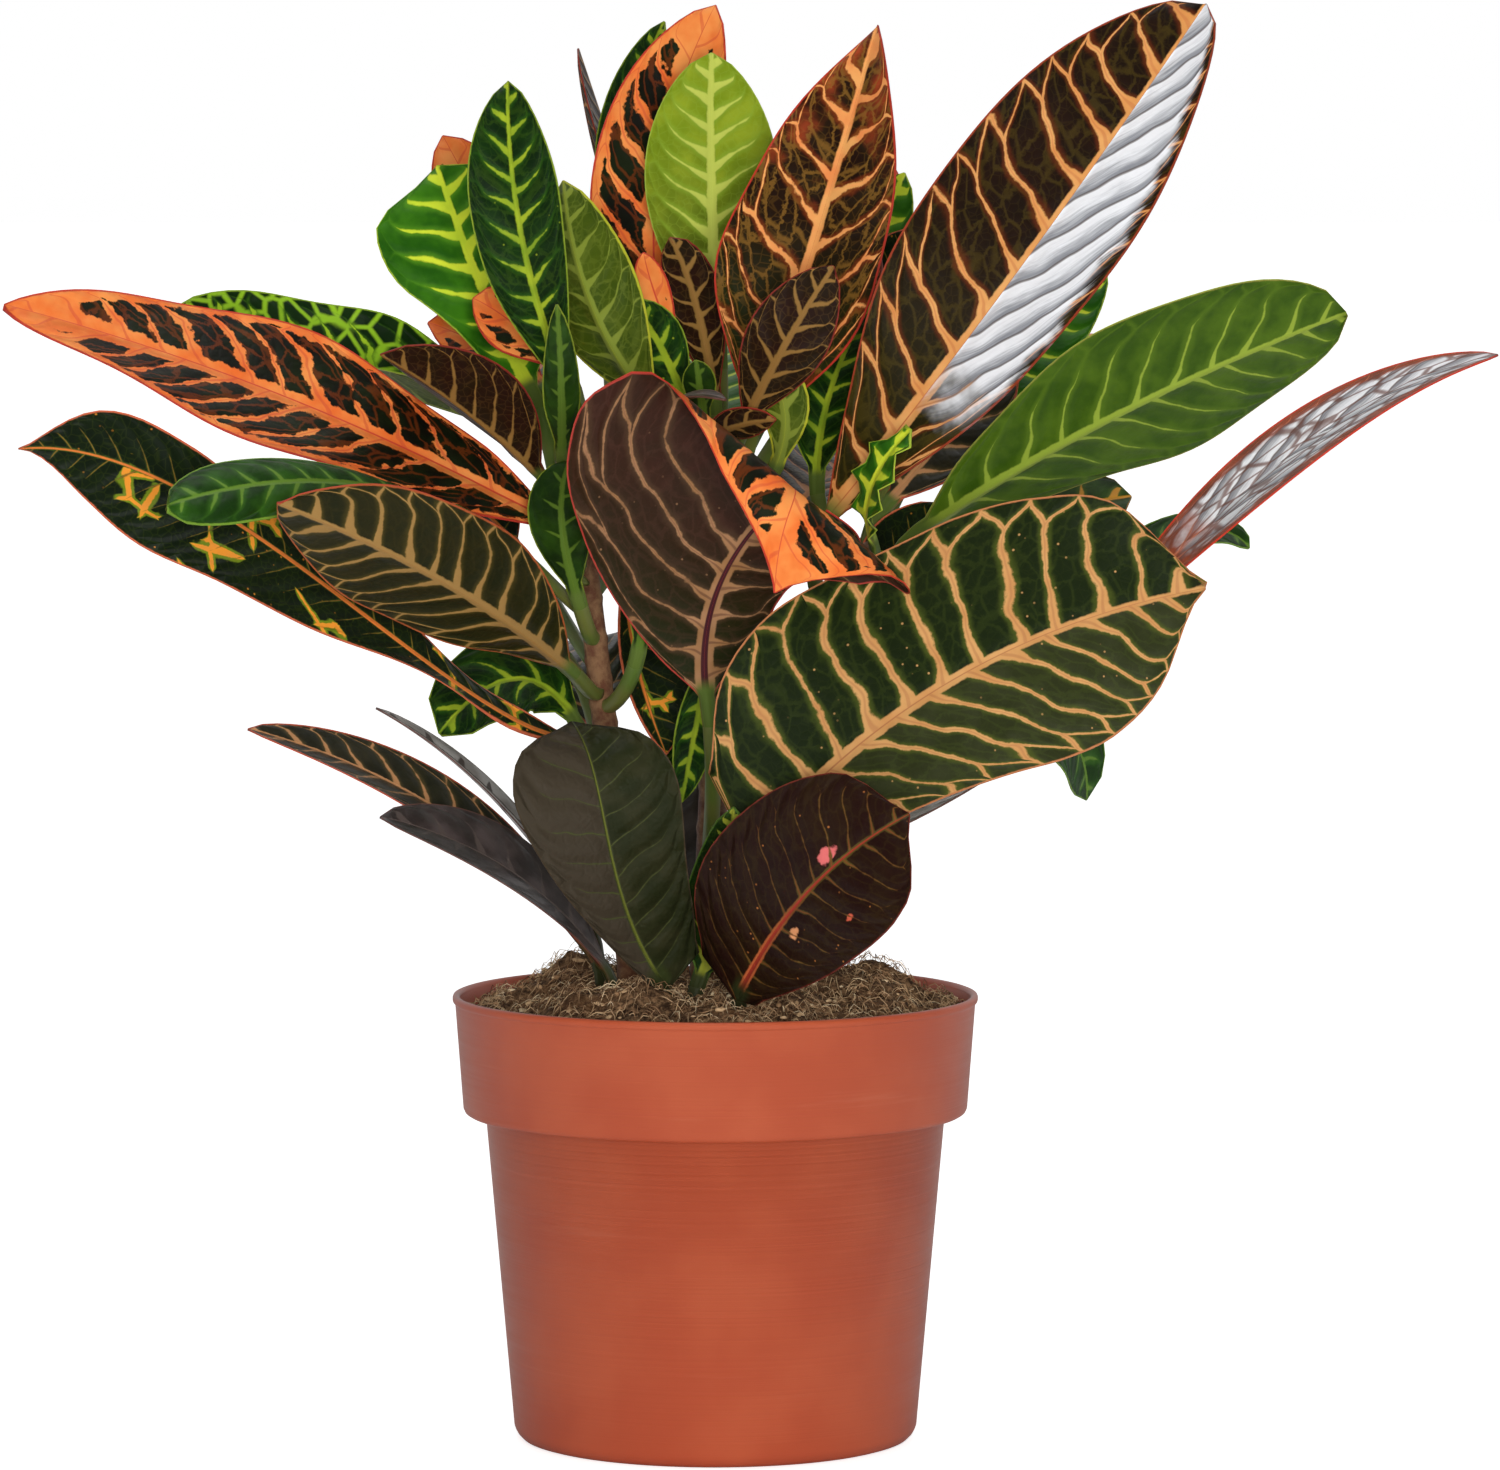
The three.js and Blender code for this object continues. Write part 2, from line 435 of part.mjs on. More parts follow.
// A point of the blade's middle surface and the way that its upper side looks there.
function bladePoint(leaf, along, across) {
  const { fold = 8, cup = 0, wave = 0, waves = 2.5, left = 1, right = 1 } = leaf;
  const forward = curveDirection(leaf.rib, along);
  const look = vector(leaf.face).normalize();
  if (leaf.tipFace) look.lerp(vector(leaf.tipFace).normalize(), along);
  const side = forward.clone().cross(look).normalize();
  const up = side.clone().cross(forward);
  const full = (leaf.width / 2) * (across > 0 ? right : left);
  const share = widthShare(leaf, along, across > 0 ? leaf.rightShares : leaf.leftShares);
  const half = Math.max(PETIOLE.half * (1 - along) + PETIOLE.spare, full * share);
  const grown = Math.min(1, along / BLADE.opens); // the fold opens over the first stretch
  const tilt = radians(fold) * grown * Math.sign(across);
  const reach = half * Math.abs(across);
  const phase = 2 * Math.PI * waves * along + (across > 0 ? 0 : BLADE.shift);
  const ripple = wave * grown * Math.sin(phase);
  const point = curvePoint(leaf.rib, along)
    .addScaledVector(side, reach * Math.cos(tilt) * Math.sign(across))
    .addScaledVector(up, reach * Math.abs(Math.sin(tilt)) + (cup + ripple) * grown * across ** 2);
  const normal = up.clone().multiplyScalar(Math.cos(tilt)).addScaledVector(side, -Math.sin(tilt));
  return { point, normal };
}

// Bends what lies beyond the rolling line round a cylinder and on, flat, past its turn.
function rolled(point) {
  const { radius, turn } = ROLL;
  const at = vector(ROLL.at);
  const over = vector(ROLL.over);
  const beyond = over.clone().cross(vector(ROLL.along).normalize());
  const offset = point.clone().sub(at);
  const past = offset.dot(beyond);
  if (past <= 0) return point;
  const height = offset.dot(over);
  const angle = Math.min(past / radius, radians(turn));
  const rest = past - angle * radius;
  return point.clone()
    .addScaledVector(beyond, (radius - height) * Math.sin(angle) + rest * Math.cos(angle) - past)
    .addScaledVector(over, radius - (radius - height) * Math.cos(angle) + rest * Math.sin(angle) - height);
}

const finenessOf = (leaf) => leaf.fine ?? FINENESS.find(({ upTo }) => leaf.width <= upTo);

function bladeRing(leaf, along) {
  const { rows } = finenessOf(leaf);
  const upper = [];
  const lower = [];
  const ridge = BLADE.ridge * (1 - along) ** BLADE.fade;
  const stalk = Math.max(0, 1 - along / BLADE.leavesStalk);
  for (const across of rows) {
    const { point, normal } = bladePoint(leaf, along, across);
    const round = PETIOLE.round * stalk * (1 - across ** 2);
    const middle = across === 0 ? ridge * (1 - stalk) : 0;
    upper.push(point.clone().addScaledVector(normal, BLADE.thick / 2 + round * 0.5));
    lower.unshift(point.clone().addScaledVector(normal, -BLADE.thick / 2 - round - middle));
  }
  return [...upper, ...lower];
}

function petioleRing(leaf, path, time) {
  const { rows } = finenessOf(leaf);
  const forward = path.getTangent(time);
  const side = forward.clone().cross(vector(leaf.face)).normalize();
  const up = side.clone().cross(forward);
  const middle = path.getPoint(time);
  const upper = [];
  const lower = [];
  for (const across of rows) {
    const round = PETIOLE.round * (1 - across ** 2);
    const point = middle.clone().addScaledVector(side, (PETIOLE.half + PETIOLE.spare) * across);
    upper.push(point.clone().addScaledVector(up, BLADE.thick / 2 + round * 0.5));
    lower.unshift(point.clone().addScaledVector(up, -BLADE.thick / 2 - round));
  }
  return [...upper, ...lower];
}

function leafGeometry(leaf) {
  const { stations } = finenessOf(leaf);
  const path = petiolePath(leaf);
  const rings = [];
  for (let i = 0; i < PETIOLE_STATIONS; i++) {
    rings.push(petioleRing(leaf, path, i / PETIOLE_STATIONS));
  }
  for (let i = 0; i <= stations; i++) {
    rings.push(bladeRing(leaf, i / stations));
  }
  if (leaf.name === ROLLED) return loft(rings.map((ring) => ring.map(rolled)));
  return loft(rings);
}

// ---- Pot and soil ---------------------------------------------------------------------------

// The soil's level at a place, with its heaps and small lumps.
function soilLevel(x, y) {
  const inner = POT.collarTop - POT.wall;
  const distance = Math.hypot(x, y) / inner;
  let level = SOIL.edge + SOIL.crown * (1 - distance ** 2);
  for (const heap of HEAPS) {
    const away = Math.hypot(x - heap.x, y - heap.y) / heap.reach;
    level += heap.rise * Math.exp(-(away ** 2)) * Math.min(1, SOIL.blend * (1 - distance));
  }
  return level + SOIL.lumps * (Math.sin(x * 0.31 + 1) + Math.sin(y * 0.37 + x * 0.13));
}

function potSolid() {
  const { height, wall, floor, footRadius, footRound, lipRadius, lipHeight, bevel, rimRound } = POT;
  const step = height - POT.collarHeight;
  const profile = [
    [0, 0],
    [POT.channelInner, 0],
    [POT.channelInner + 1, POT.channelRise],
    [POT.channelOuter - 1, POT.channelRise],
    [POT.channelOuter, 0],
    [footRadius, 0],
    [POT.bodyBottom - 1, footRound * 0.35],
    [POT.bodyBottom, footRound],
    [POT.bodyTop, step - 1],
    [POT.collarBottom - bevel, step],
    [POT.collarBottom, step + bevel],
    [POT.collarTop, height - lipHeight - rimRound],
    [lipRadius, height - lipHeight],
    [lipRadius, height - rimRound],
    [lipRadius - rimRound, height],
    [POT.collarTop - wall + rimRound, height],
    [POT.collarTop - wall, height - bevel],
    [POT.collarBottom - wall, step + wall + 1],
    [POT.bodyTop - wall, step + wall - 1],
    [POT.bodyBottom - wall, floor + footRound],
    [POT.bodyBottom - wall - 2, floor],
    [0, floor],
  ].map(([radius, level]) => new THREE.Vector2(radius, level));
  let pot = solidOf(new THREE.LatheGeometry(profile, POT.sides).rotateX(Math.PI / 2));
  for (let i = 0; i < DRAIN.count; i++) {
    const turn = (2 * Math.PI * i) / DRAIN.count;
    const drill = new THREE.CylinderGeometry(DRAIN.radius, DRAIN.radius, 4 * floor, DRAIN.sides)
      .rotateX(Math.PI / 2)
      .translate(DRAIN.ring * Math.cos(turn), DRAIN.ring * Math.sin(turn), floor / 2);
    pot = pot.subtract(solidOf(drill));
  }
  return pot;
}

// The soil fills the pot from its floor; its holes hold the stems and the low leaves' stalks.
function soilSolid() {
  const { wall, floor, footRound } = POT;
  const step = POT.height - POT.collarHeight;
  const inner = POT.collarTop - wall - GAP;
  const sideShare = (SOIL.edge - step) / (POT.height - step);
  const edge = THREE.MathUtils.lerp(POT.collarBottom, POT.collarTop, sideShare) - wall - GAP;
  const profile = [
    [0, floor + GAP],
    [POT.bodyBottom - wall - 2 - GAP, floor + GAP],
    [POT.bodyBottom - wall - GAP, floor + footRound + GAP],
    [POT.bodyTop - wall - GAP, step + wall - 1],
    [POT.collarBottom - wall - GAP, step + wall + 1 + GAP],
    ...SOIL.rings.map((share) => [Math.min(edge, share * inner), POT.height]),
    [0, POT.height],
  ].map(([radius, level]) => new THREE.Vector2(radius, level));
  const geometry = new THREE.LatheGeometry(profile, SOIL.sides).rotateX(Math.PI / 2);
  const places = geometry.attributes.position;
  for (let i = 0; i < places.count; i++) {
    if (places.getZ(i) > SOIL.edge) places.setZ(i, soilLevel(places.getX(i), places.getY(i)));
  }
  let soil = solidOf(geometry);
  for (const stem of Object.values(STEMS)) {
    const [foot, ...rest] = stem.path;
    const hole = [[foot[0], foot[1], foot[2] - GAP], ...rest];
    const wide = (time) => stemRadius(stem, time) + 2 * GAP;
    soil = soil.subtract(solidOf(tube(hole, wide, STEM_SIDES, STEM_STATIONS)));
  }
  for (const leaf of LEAVES.filter(({ soil: place }) => place)) {
    const path = petiolePath(leaf);
    const points = [-0.05, 0.5, 1].map((time) => path.getPoint(time).toArray());
    const wide = () => PETIOLE.half + PETIOLE.round;
    soil = soil.subtract(solidOf(tube(points, wide, STEM_SIDES, PETIOLE_STATIONS)));
  }
  return soil;
}

// ---- The assembly ---------------------------------------------------------------------------

function piece(name, geometry, look, roughness) {
  const material = new THREE.MeshStandardMaterial({ color: COLOURS[look], roughness, metalness: 0 });
  const mesh = new THREE.Mesh(geometry, material);
  mesh.name = name;
  return mesh;
}

const plant = new THREE.Group();
plant.add(piece("pot", geometryOf(potSolid()), "pot", 0.5));
plant.add(piece("soil", geometryOf(soilSolid()), "soil", 0.95));

for (const [name, stem] of Object.entries(STEMS)) {
  const grown = LEAVES.filter((leaf) => leaf.grown && leaf.stem === name);
  const leafy = grown.reduce((solid, leaf) => solid.add(solidOf(leafGeometry(leaf))), stemSolid(stem));
  plant.add(piece(`stem_${name}`, geometryOf(leafy), "stem", 0.7));
}

for (const leaf of LEAVES.filter(({ grown }) => !grown)) {
  plant.add(piece(`leaf_${leaf.name}`, leafGeometry(leaf), leaf.look, 0.4));
}

export default plant;
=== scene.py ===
"""A potted croton: its leaves, stems, soil and pot in Blender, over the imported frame.

Metres in the scene; the sizes below are in millimetres and are turned into metres as each piece is
made. +Z is up, -Y is the front, and the origin is the middle of the pot's foot.
"""

import math
import random
from types import SimpleNamespace

import bmesh
import bpy
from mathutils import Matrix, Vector, noise


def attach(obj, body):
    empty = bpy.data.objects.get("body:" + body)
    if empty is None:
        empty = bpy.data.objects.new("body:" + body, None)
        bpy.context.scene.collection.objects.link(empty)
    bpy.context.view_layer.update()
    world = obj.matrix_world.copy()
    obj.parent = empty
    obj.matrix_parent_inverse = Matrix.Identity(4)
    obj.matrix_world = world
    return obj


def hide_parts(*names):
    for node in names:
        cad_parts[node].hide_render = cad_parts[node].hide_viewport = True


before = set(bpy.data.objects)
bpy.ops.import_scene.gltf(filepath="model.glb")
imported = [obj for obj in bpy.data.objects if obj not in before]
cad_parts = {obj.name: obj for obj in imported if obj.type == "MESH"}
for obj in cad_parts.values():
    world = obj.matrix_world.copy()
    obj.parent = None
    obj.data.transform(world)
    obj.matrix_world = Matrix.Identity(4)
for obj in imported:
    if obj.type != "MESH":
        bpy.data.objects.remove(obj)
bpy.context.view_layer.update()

MM = 0.001
CHANCE = random.Random(7)  # every draw comes from this one seed
TURN = 2 * math.pi

# ---- Sizes, in millimetres ------------------------------------------------------------------

POT_HEIGHT, POT_FLOOR, POT_WALL = 119, 2.4, 1.3
LIP_RADIUS, LIP_HEIGHT, LIP_INSET = 70, 2, 0.7
COLLAR_TOP, COLLAR_BOTTOM, COLLAR_HEIGHT = 69.3, 67.2, 31.5
BODY_TOP, BODY_BOTTOM = 61.2, 53.8
STEP_LEVEL = POT_HEIGHT - COLLAR_HEIGHT  # where the collar starts
FOOT_RADIUS, FOOT_ROUND = 50.5, 3.5
FOOT_CURVE = ((51.8, 0.4), (52.9, 1.5), (53.5, 2.6))
CHANNEL_INNER, CHANNEL_OUTER, CHANNEL_RISE = 30, 44, 1.2
DRAINS, DRAIN_RADIUS, DRAIN_RING, DRAIN_SIDES = 6, 4.5, 37, 24
POT_SIDES = 160

SOIL_EDGE, SOIL_CROWN, SOIL_RIPPLE, SOIL_GAP, SOIL_RIM = 113.5, 8, 0.7, 0.3, 0.6
SOIL_SIDES, SOIL_RINGS, WALL_SLOPE = 220, 75, 4
# Heaps that stand out of the soil: place, rise and reach.
HEAPS = ((-38, 16, 8, 15), (-22, -4, 2.5, 14), (-24, -38, 6, 17), (10, -44, 1, 15), (40, 4, 7, 18))
# Crumbs of the soil's surface, coarse and fine: scale, roughness, step, octaves and rise.
CRUMBLE = ((0.12, 0.9, 2.1, 6, 1.7), (0.45, 0.8, 2.2, 5, 0.9))
CRUMBLE_WALL, CRUMBLE_FADE, CRUMBLE_LEAST = 66.5, 4, 0.35  # they get lower towards the wall
FIBRE_SPOT, FIBRE_REACH, FIBRE_LIFT, FIBRE_BEND = 66, 67, 0.2, 1.6
FIBRE_SIDES, FIBRE_ROWS = 3, 4
CRUMB_REACH, CRUMB_LUMPS = 65, (0.3, 1.7)
CRUMB_SHAPE = ((0.6, 1.5), (0.5, 1), (0.35, 0.8))  # least and most along x, y and z

STALK_HALF, STALK_WIDE, STALK_ROUND, STALK_THIN = 1.9, 2.1, 1.5, 0.3
STALK_BURIED, STALK_START, STALK_SUNK, STALK_ROWS = 12, 6, 0.2, 8
STALK_OUT, STALK_IN = 0.35, 0.4  # how far its ends run straight, as shares of its reach
BLADE_THICK, BLADE_RIDGE, RIDGE_HALF, RIM_THICK = 0.6, 1.5, 1.8, 0.35
TIP_HALF = 0.3
OPENS, SWELL_ENDS = 6, 8  # 1 / the share of its length in which a blade opens and thins
RIDGE_FADE, RIM_SHARP, OTHER_SIDE = 1.5, 4, 1.7
TOWARDS_RIB = 0.4  # how much closer together the columns are near the midrib
ROW_STEP, FINE_STEP = 3.4, 1.7
SMALL_LEAF, SMALL_COLUMNS, COLUMNS = 24, 8, 14
# Each stem: the points that its middle line passes, its radius at the soil and at its tip.
STEMS = {
    "left": (((-19, -8, 96), (-29, -10, 190), (-38, -8, 268)), 4.2, 2.8),
    "middle": (((-4, 4, 96), (0, 2, 190), (1, 0, 264)), 4.6, 3.0),
    "right": (((13, 2, 96), (24, -4, 172), (41, -12, 240)), 4.0, 2.6),
}
STEM_SIDES, STEM_ROWS = 20, 90
SCAR_RISE, SCAR_RATE, SCAR_SLANT, SCAR_SHARP, SCAR_SUNK = 0.35, 95, 1.5, 6, 0.15
# The rolled leaf's top half bends over towards the front about a slanting line.
ROLLED_LEAF = "front_1"
ROLL_AT, ROLL_ALONG, ROLL_OVER = (-20, -72, 276), (0.79, 0, -0.61), (0, -1, 0)
ROLL_RADIUS, ROLL_TURN = 6, math.radians(165)

# ---- Leaves ---------------------------------------------------------------------------------


def leaf(name, top, back, root, width, rib, face, **form):
    """A row of the table below.

    top and back: the finishes of the two sides. root: the stem it grows from and the height of its
    foot, or its place on the soil. width: across the widest place. rib: points that the midrib
    passes, from the blade's base to its tip. face and tipFace: the way the upper side looks at the
    base and at the tip. fold: degrees that each half rises. left, right and the shares: the share of
    the width that each half has. widest: where, along the blade. blunt: how full the tip is. cup:
    rise of the margins. wave and waves: height and number of their waves.
    """
    return dict(form, name=name, top=top, back=back, root=root, width=width, rib=rib, face=face)


def young(*row, **form):
    """A young or small leaf, one piece with its stem."""
    return leaf(*row, grown=True, **form)


LEAVES = [
    # Left side, from the top of the left stem
    leaf("left_1", "ember", "umber_back", ("left", 230), 46, ((-39, -18, 243), (-110, -34, 278),
        (-184, -44, 303)), (0.2, -0.66, 0.75), wave=1.5, widest=0.5, blunt=0.75),
    leaf("left_2", "netted", "olive_back", ("left", 242), 42, ((-48, 22, 268), (-90, 16, 280.5),
        (-144, 4, 301)), (0.2, -0.36, 0.9), fold=36, wave=1),
    leaf("left_3", "blotched", "wine_back", ("left", 184), 44, ((-35, -28, 188), (-76, -50, 211.5),
        (-126, -70, 250), (-177, -80, 267)), (0.5, -0.35, 0.8), fold=-10, wave=1.5, waves=3,
        leftShares=(0.1, 0.12, 0.2, 0.4, 0.7, 0.9, 0.93, 0.55, 0),
        rightShares=(0.1, 0.2, 0.3, 0.32, 0.35, 0.4, 0.5, 0.55, 0), tipFace=(0, -1, 0.25)),
    leaf("left_4", "fern", "moss_back", ("left", 222), 19, ((-66, -56, 250), (-100, -86, 259),
        (-137, -108, 254)), (0.2, -0.8, 0.6), cup=-3, widest=0.78, blunt=0.42),
    leaf("left_5", "ember", "umber_back", ("left", 200), 41, ((-38, -34, 208), (-68, -80, 233),
        (-109, -114, 255)), (-0.25, 0.7, 0.65), fold=10, wave=1),
    leaf("left_6", "dark_copper", "wine_back", ("left", 240), 37, ((-46, -12, 258), (-65, -24, 275),
        (-87, -34, 290)), (0.3, 0.45, 0.8), fold=24),
    young("left_7", "ember", "umber_back", ("left", 262), 22, ((-46, 14, 280), (-61, 20, 290),
        (-77, 20, 297)), (0, -0.7, 0.7), fold=10),
    leaf("left_8", "bright", "moss_back", ("left", 246), 50, ((-49, 0, 280), (-62, 4, 307), (-74, 10, 339)),
        (-0.1, -0.9, 0.3), fold=12, wave=1.5, widest=0.6, blunt=0.5,
        leftShares=(0.15, 0.25, 0.34, 0.45, 0.62, 0.82, 0.88, 0.75, 0)),
    young("left_9", "yolk", "moss_back", ("left", 250), 25, ((-38, -18, 279), (-50, -28, 319),
        (-54, -24, 361)), (-0.1, -0.95, 0.1), fold=16, wave=1, widest=0.62),
    young("left_10", "fern", "shade", ("left", 260), 10, ((-40, -24, 264), (-40, -32, 283),
        (-41, -34, 303)), (0, 1, 0.3), widest=0.4),
    leaf("left_11", "ember", "umber_back", ("left", 258), 28, ((-40, 26, 284), (-57, 38, 316),
        (-74, 50, 347)), (0, -0.9, 0.4), fold=10),
    leaf("left_12", "yolk", "moss_back", ("left", 178), 30, ((-38, 0, 193), (-54, -4, 203),
        (-73, -10, 189)), (0, -0.7, 0.7), wave=1.5, blunt=0.5),
    leaf("left_13", "yolk", "moss_back", ("left", 186), 22, ((-44, 20, 211), (-62, 25, 222),
        (-84, 32, 229)), (0, -0.75, 0.65)),
    leaf("left_14", "blotched", "wine_back", ("left", 238), 24, ((-24, 6, 232), (-21, 5, 207),
        (-13, -4, 183)), (0.3, -0.95, 0), fold=14, left=1.15, right=0.4),
    young("left_15", "fern", "shade", ("left", 214), 18, ((-36, -24, 226), (-40, -30, 247),
        (-38, -26, 262)), (0, 1, 0.1)),
    young("left_16", "fern", "shade", ("left", 196), 18, ((-20, -30, 212), (-15, -36, 237),
        (-10, -34, 260)), (0, 1, 0.2)),
    young("left_17", "ember", "wine_back", ("left", 262), 20, ((-42, -6, 286), (-53, -6, 297),
        (-64, -6, 304)), (0, -0.8, 0.6), fold=10),
    # Crown, from the top of the middle stem
    young("crown_1", "yolk", "olive_back", ("middle", 254), 28, ((-15, -8, 275), (-32, -14, 302),
        (-40, -4, 335)), (0.3, 0.9, 0.3), fold=12),
    young("crown_2", "dark_copper", "wine_back", ("middle", 250), 22, ((-16, 54, 300), (-26, 68, 334),
        (-38, 82, 371)), (-0.95, 0.1, 0.3), fold=20),
    young("crown_3", "yolk", "moss_back", ("middle", 248), 18, ((-15, 40, 294), (-24, 50, 338),
        (-14, 60, 378)), (-0.3, -0.9, 0.1), fold=16),
    young("crown_4", "ember", "umber_back", ("middle", 252), 36, ((-10, 20, 280), (-16, 28, 330),
        (0, 34, 382)), (-0.1, -0.95, 0.2), fold=14, wave=1),
    leaf("crown_5", "bright", "lime_back", ("middle", 258), 36, ((1, 16, 290), (-1, 18, 332),
        (-1, 18, 369)), (0, 1, 0.1)),
    young("crown_6", "flame", "wine_back", ("middle", 250), 47, ((11, -7, 272), (26, -10, 318),
        (43, 2, 376)), (-0.3, -0.95, 0.2), fold=18, wave=1.5, widest=0.45, blunt=0.85),
    young("crown_7", "dark_copper", "wine_back", ("middle", 258), 15, ((0, 3, 276), (-5, 4, 302),
        (-12, 5, 320)), (0, 1, 0.1), blunt=0.5),
    young("crown_8", "ember", "wine_back", ("middle", 256), 22, ((8, -22, 272), (18, -34, 292),
        (31, -36, 313)), (0, 1, 0.2)),
    young("crown_9", "dark_copper", "wine_back", ("middle", 257), 14, ((14, -1, 274), (31, 4, 297),
        (44, 10, 315)), (-0.2, -0.9, 0.4), fold=20),
    young("crown_10", "dusk", "wine_back", ("middle", 260), 7, ((-15, -18, 275), (-6, -26, 279),
        (3, -32, 278)), (0, -0.3, 1)),
    young("crown_11", "ember", "wine_back", ("middle", 256), 10, ((-2, -16, 267), (5, -26, 271),
        (16, -32, 273)), (0, 0.9, 0.4)),
    young("crown_12", "ember", "olive_back", ("middle", 257), 14, ((16, -16, 260), (18, -24, 277),
        (9, -24, 290)), (0, 1, 0)),
    young("crown_13", "fern", "shade", ("middle", 258), 9, ((-3, -8, 272), (-4, -12, 281), (-5, -14, 288)),
        (0, 1, 0)),
    young("crown_14", "yolk", "moss_back", ("middle", 256), 15, ((-8, 0, 276), (-15, 2, 292),
        (-23, 4, 303)), (0, -0.9, 0.4)),
    young("crown_15", "ember", "wine_back", ("middle", 258), 9, ((-10, 4, 290), (-16, 5, 305),
        (-19, 6, 316)), (0, -1, 0.2)),
    leaf("crown_16", "bright", "moss_back", ("middle", 240), 20, ((26, 30, 286), (39, 36, 312),
        (51, 42, 337)), (0, -1, 0.2)),
    young("crown_17", "blotched", "wine_back", ("middle", 246), 20, ((18, 16, 268), (37, 22, 296),
        (51, 26, 322)), (0.2, -0.9, 0.4)),
    # Right side, from the top of the right stem
    leaf("right_1", "copper", "wine_back", ("right", 218), 62, ((29, -26, 246), (77, -38, 309),
        (128, -28, 381)), (-0.3, -0.9, 0.15), fold=14, wave=1.5, widest=0.58, blunt=0.52, left=1.03,
        right=0.74),
    leaf("right_2", "bright", "moss_back", ("right", 211), 50, ((54, -21, 244), (105, -40, 275),
        (164, -40, 301)), (-0.2, 0.8, 0.6), wave=1, widest=0.62, blunt=0.5),
    leaf("right_3", "copper_sheen", "wine_back", ("right", 200), 27, ((96, 10, 207), (132, 18, 243),
        (170, 28, 272), (211, 36, 288)), (-0.1, -0.35, 0.93), fold=10),
    leaf("right_4", "yolk", "moss_back", ("right", 232), 24, ((27, 2, 256), (31, 6, 280), (42, 12, 303)),
        (-0.3, -0.9, 0.2), fold=14),
    leaf("right_5", "fern", "moss_back", ("right", 184), 26, ((62, -12, 192), (90, -6, 191), (99, 8, 170)),
        (0.3, -0.75, 0.6)),
    leaf("right_6", "mossy", "moss_back", ("right", 210), 30, ((52, 12, 238), (82, 24, 245),
        (112, 30, 250)), (0, -0.6, 0.8), blunt=0.45),
    young("right_7", "blotched", "wine_back", ("right", 212), 20, ((38, -10, 224), (48, -8, 236),
        (60, -6, 250)), (0, -0.8, 0.5)),
    young("right_8", "bright", "moss_back", ("right", 236), 15, ((41, -34, 241), (41, -44, 256),
        (51, -48, 271)), (-0.8, -0.5, 0.2), wave=2, waves=4),
    leaf("right_9", "fern", "moss_back", ("right", 180), 16, ((90, 32, 222), (126, 46, 239),
        (145, 50, 235)), (0, -0.5, 0.8)),
    young("right_10", "bright", "moss_back", ("right", 224), 26, ((52, 6, 262), (78, 20, 286),
        (105, 32, 312)), (0, -0.9, 0.4)),
    young("right_11", "cinnabar", "wine_back", ("right", 234), 24, ((46, 0, 250), (62, 6, 268),
        (80, 10, 288)), (0, -0.9, 0.4)),
    young("right_12", "ember", "wine_back", ("right", 234), 7, ((38, -36, 238), (34, -44, 245),
        (29, -50, 250)), (0, -0.4, 0.9)),
    # Front and middle heights
    leaf("front_1", "ember", "plum_back", ("middle", 158), 60, ((-2, -35, 201), (0, -44, 227),
        (15, -65, 251), (44.5, -72, 268.4)), (0, 0.95, 0.3), fold=3,
        leftShares=(0.07, 0.35, 0.5, 0.53, 0.6, 0.88, 1.12, 1.23, 0),
        rightShares=(0.07, 0.4, 0.8, 1.25, 1.68, 1.75, 0.8, 0.23, 0), tipFace=(0, 1, 0)),
    leaf("front_2", "peachy", "moss_back", ("right", 146), 74, ((14, -56, 167), (64, -70, 209),
        (126, -70, 231)), (0, -0.93, 0.3), fold=4, wave=5, waves=1, blunt=0.45,
        leftShares=(0.6, 0.95, 1.11, 1.09, 1.05, 1.02, 0.92, 0.7, 0),
        rightShares=(0.3, 0.5, 0.62, 0.72, 0.8, 0.86, 0.82, 0.58, 0)),
    leaf("front_3", "ash", "wine_back", ("right", 140), 16, ((26, -12, 155), (49, -6, 169), (78, 0, 181)),
        (0, -0.5, 0.85), fold=6),
    young("front_4", "fern", "moss_back", ("middle", 214), 9, ((-14, 18, 208), (-12, 18, 189),
        (-8, 16, 171)), (0, -1, 0.1)),
    young("front_5", "yolk", "moss_back", ("middle", 216), 12, ((-1, -8, 212), (-5, -10, 192),
        (-9, -12, 171)), (0.4, -0.9, 0.1)),
    # Low leaves, out of the soil
    leaf("low_1", "ribbed", "wine_back", ("soil", -14, -31), 42, ((-14, -35, 126), (-25, -50, 153),
        (-30, -60, 178), (-37, -48, 195)), (0, -0.95, 0.3), widest=0.66, blunt=0.42,
        leftShares=(0.15, 0.3, 0.5, 0.72, 0.92, 1.08, 1.1, 0.8, 0),
        rightShares=(0.6, 0.76, 0.85, 0.92, 0.98, 1, 0.92, 0.66, 0), tipFace=(0, -0.3, 0.95)),
    leaf("low_2", "wine", "wine_back", ("soil", 7, -41), 53, ((7, -44, 124), (25, -72.5, 154),
        (50, -82, 174)), (-0.1, -0.9, 0.35), fold=5, widest=0.5, blunt=0.55,
        leftShares=(0.55, 0.86, 1.02, 1.05, 1.02, 0.96, 0.84, 0.62, 0),
        rightShares=(0.2, 0.42, 0.62, 0.76, 0.84, 0.88, 0.84, 0.64, 0)),
    leaf("low_3", "striped", "moss_back", ("soil", -6, -31), 20, ((-4, -30, 126), (2, -37.5, 148),
        (5, -62, 174)), (0, -0.95, 0.2), fold=12, blunt=0.5, widest=0.45),
    leaf("low_4", "cinnabar", "wine_back", ("soil", -31, -15), 27, ((-33, -14, 132), (-72, -12, 168),
        (-123, -20, 191)), (0.3, -0.4, 0.87), fold=14),
    leaf("low_5", "dusk", "wine_back", ("soil", -30, -28), 31, ((-28, -28, 128), (-53, -36, 154.5),
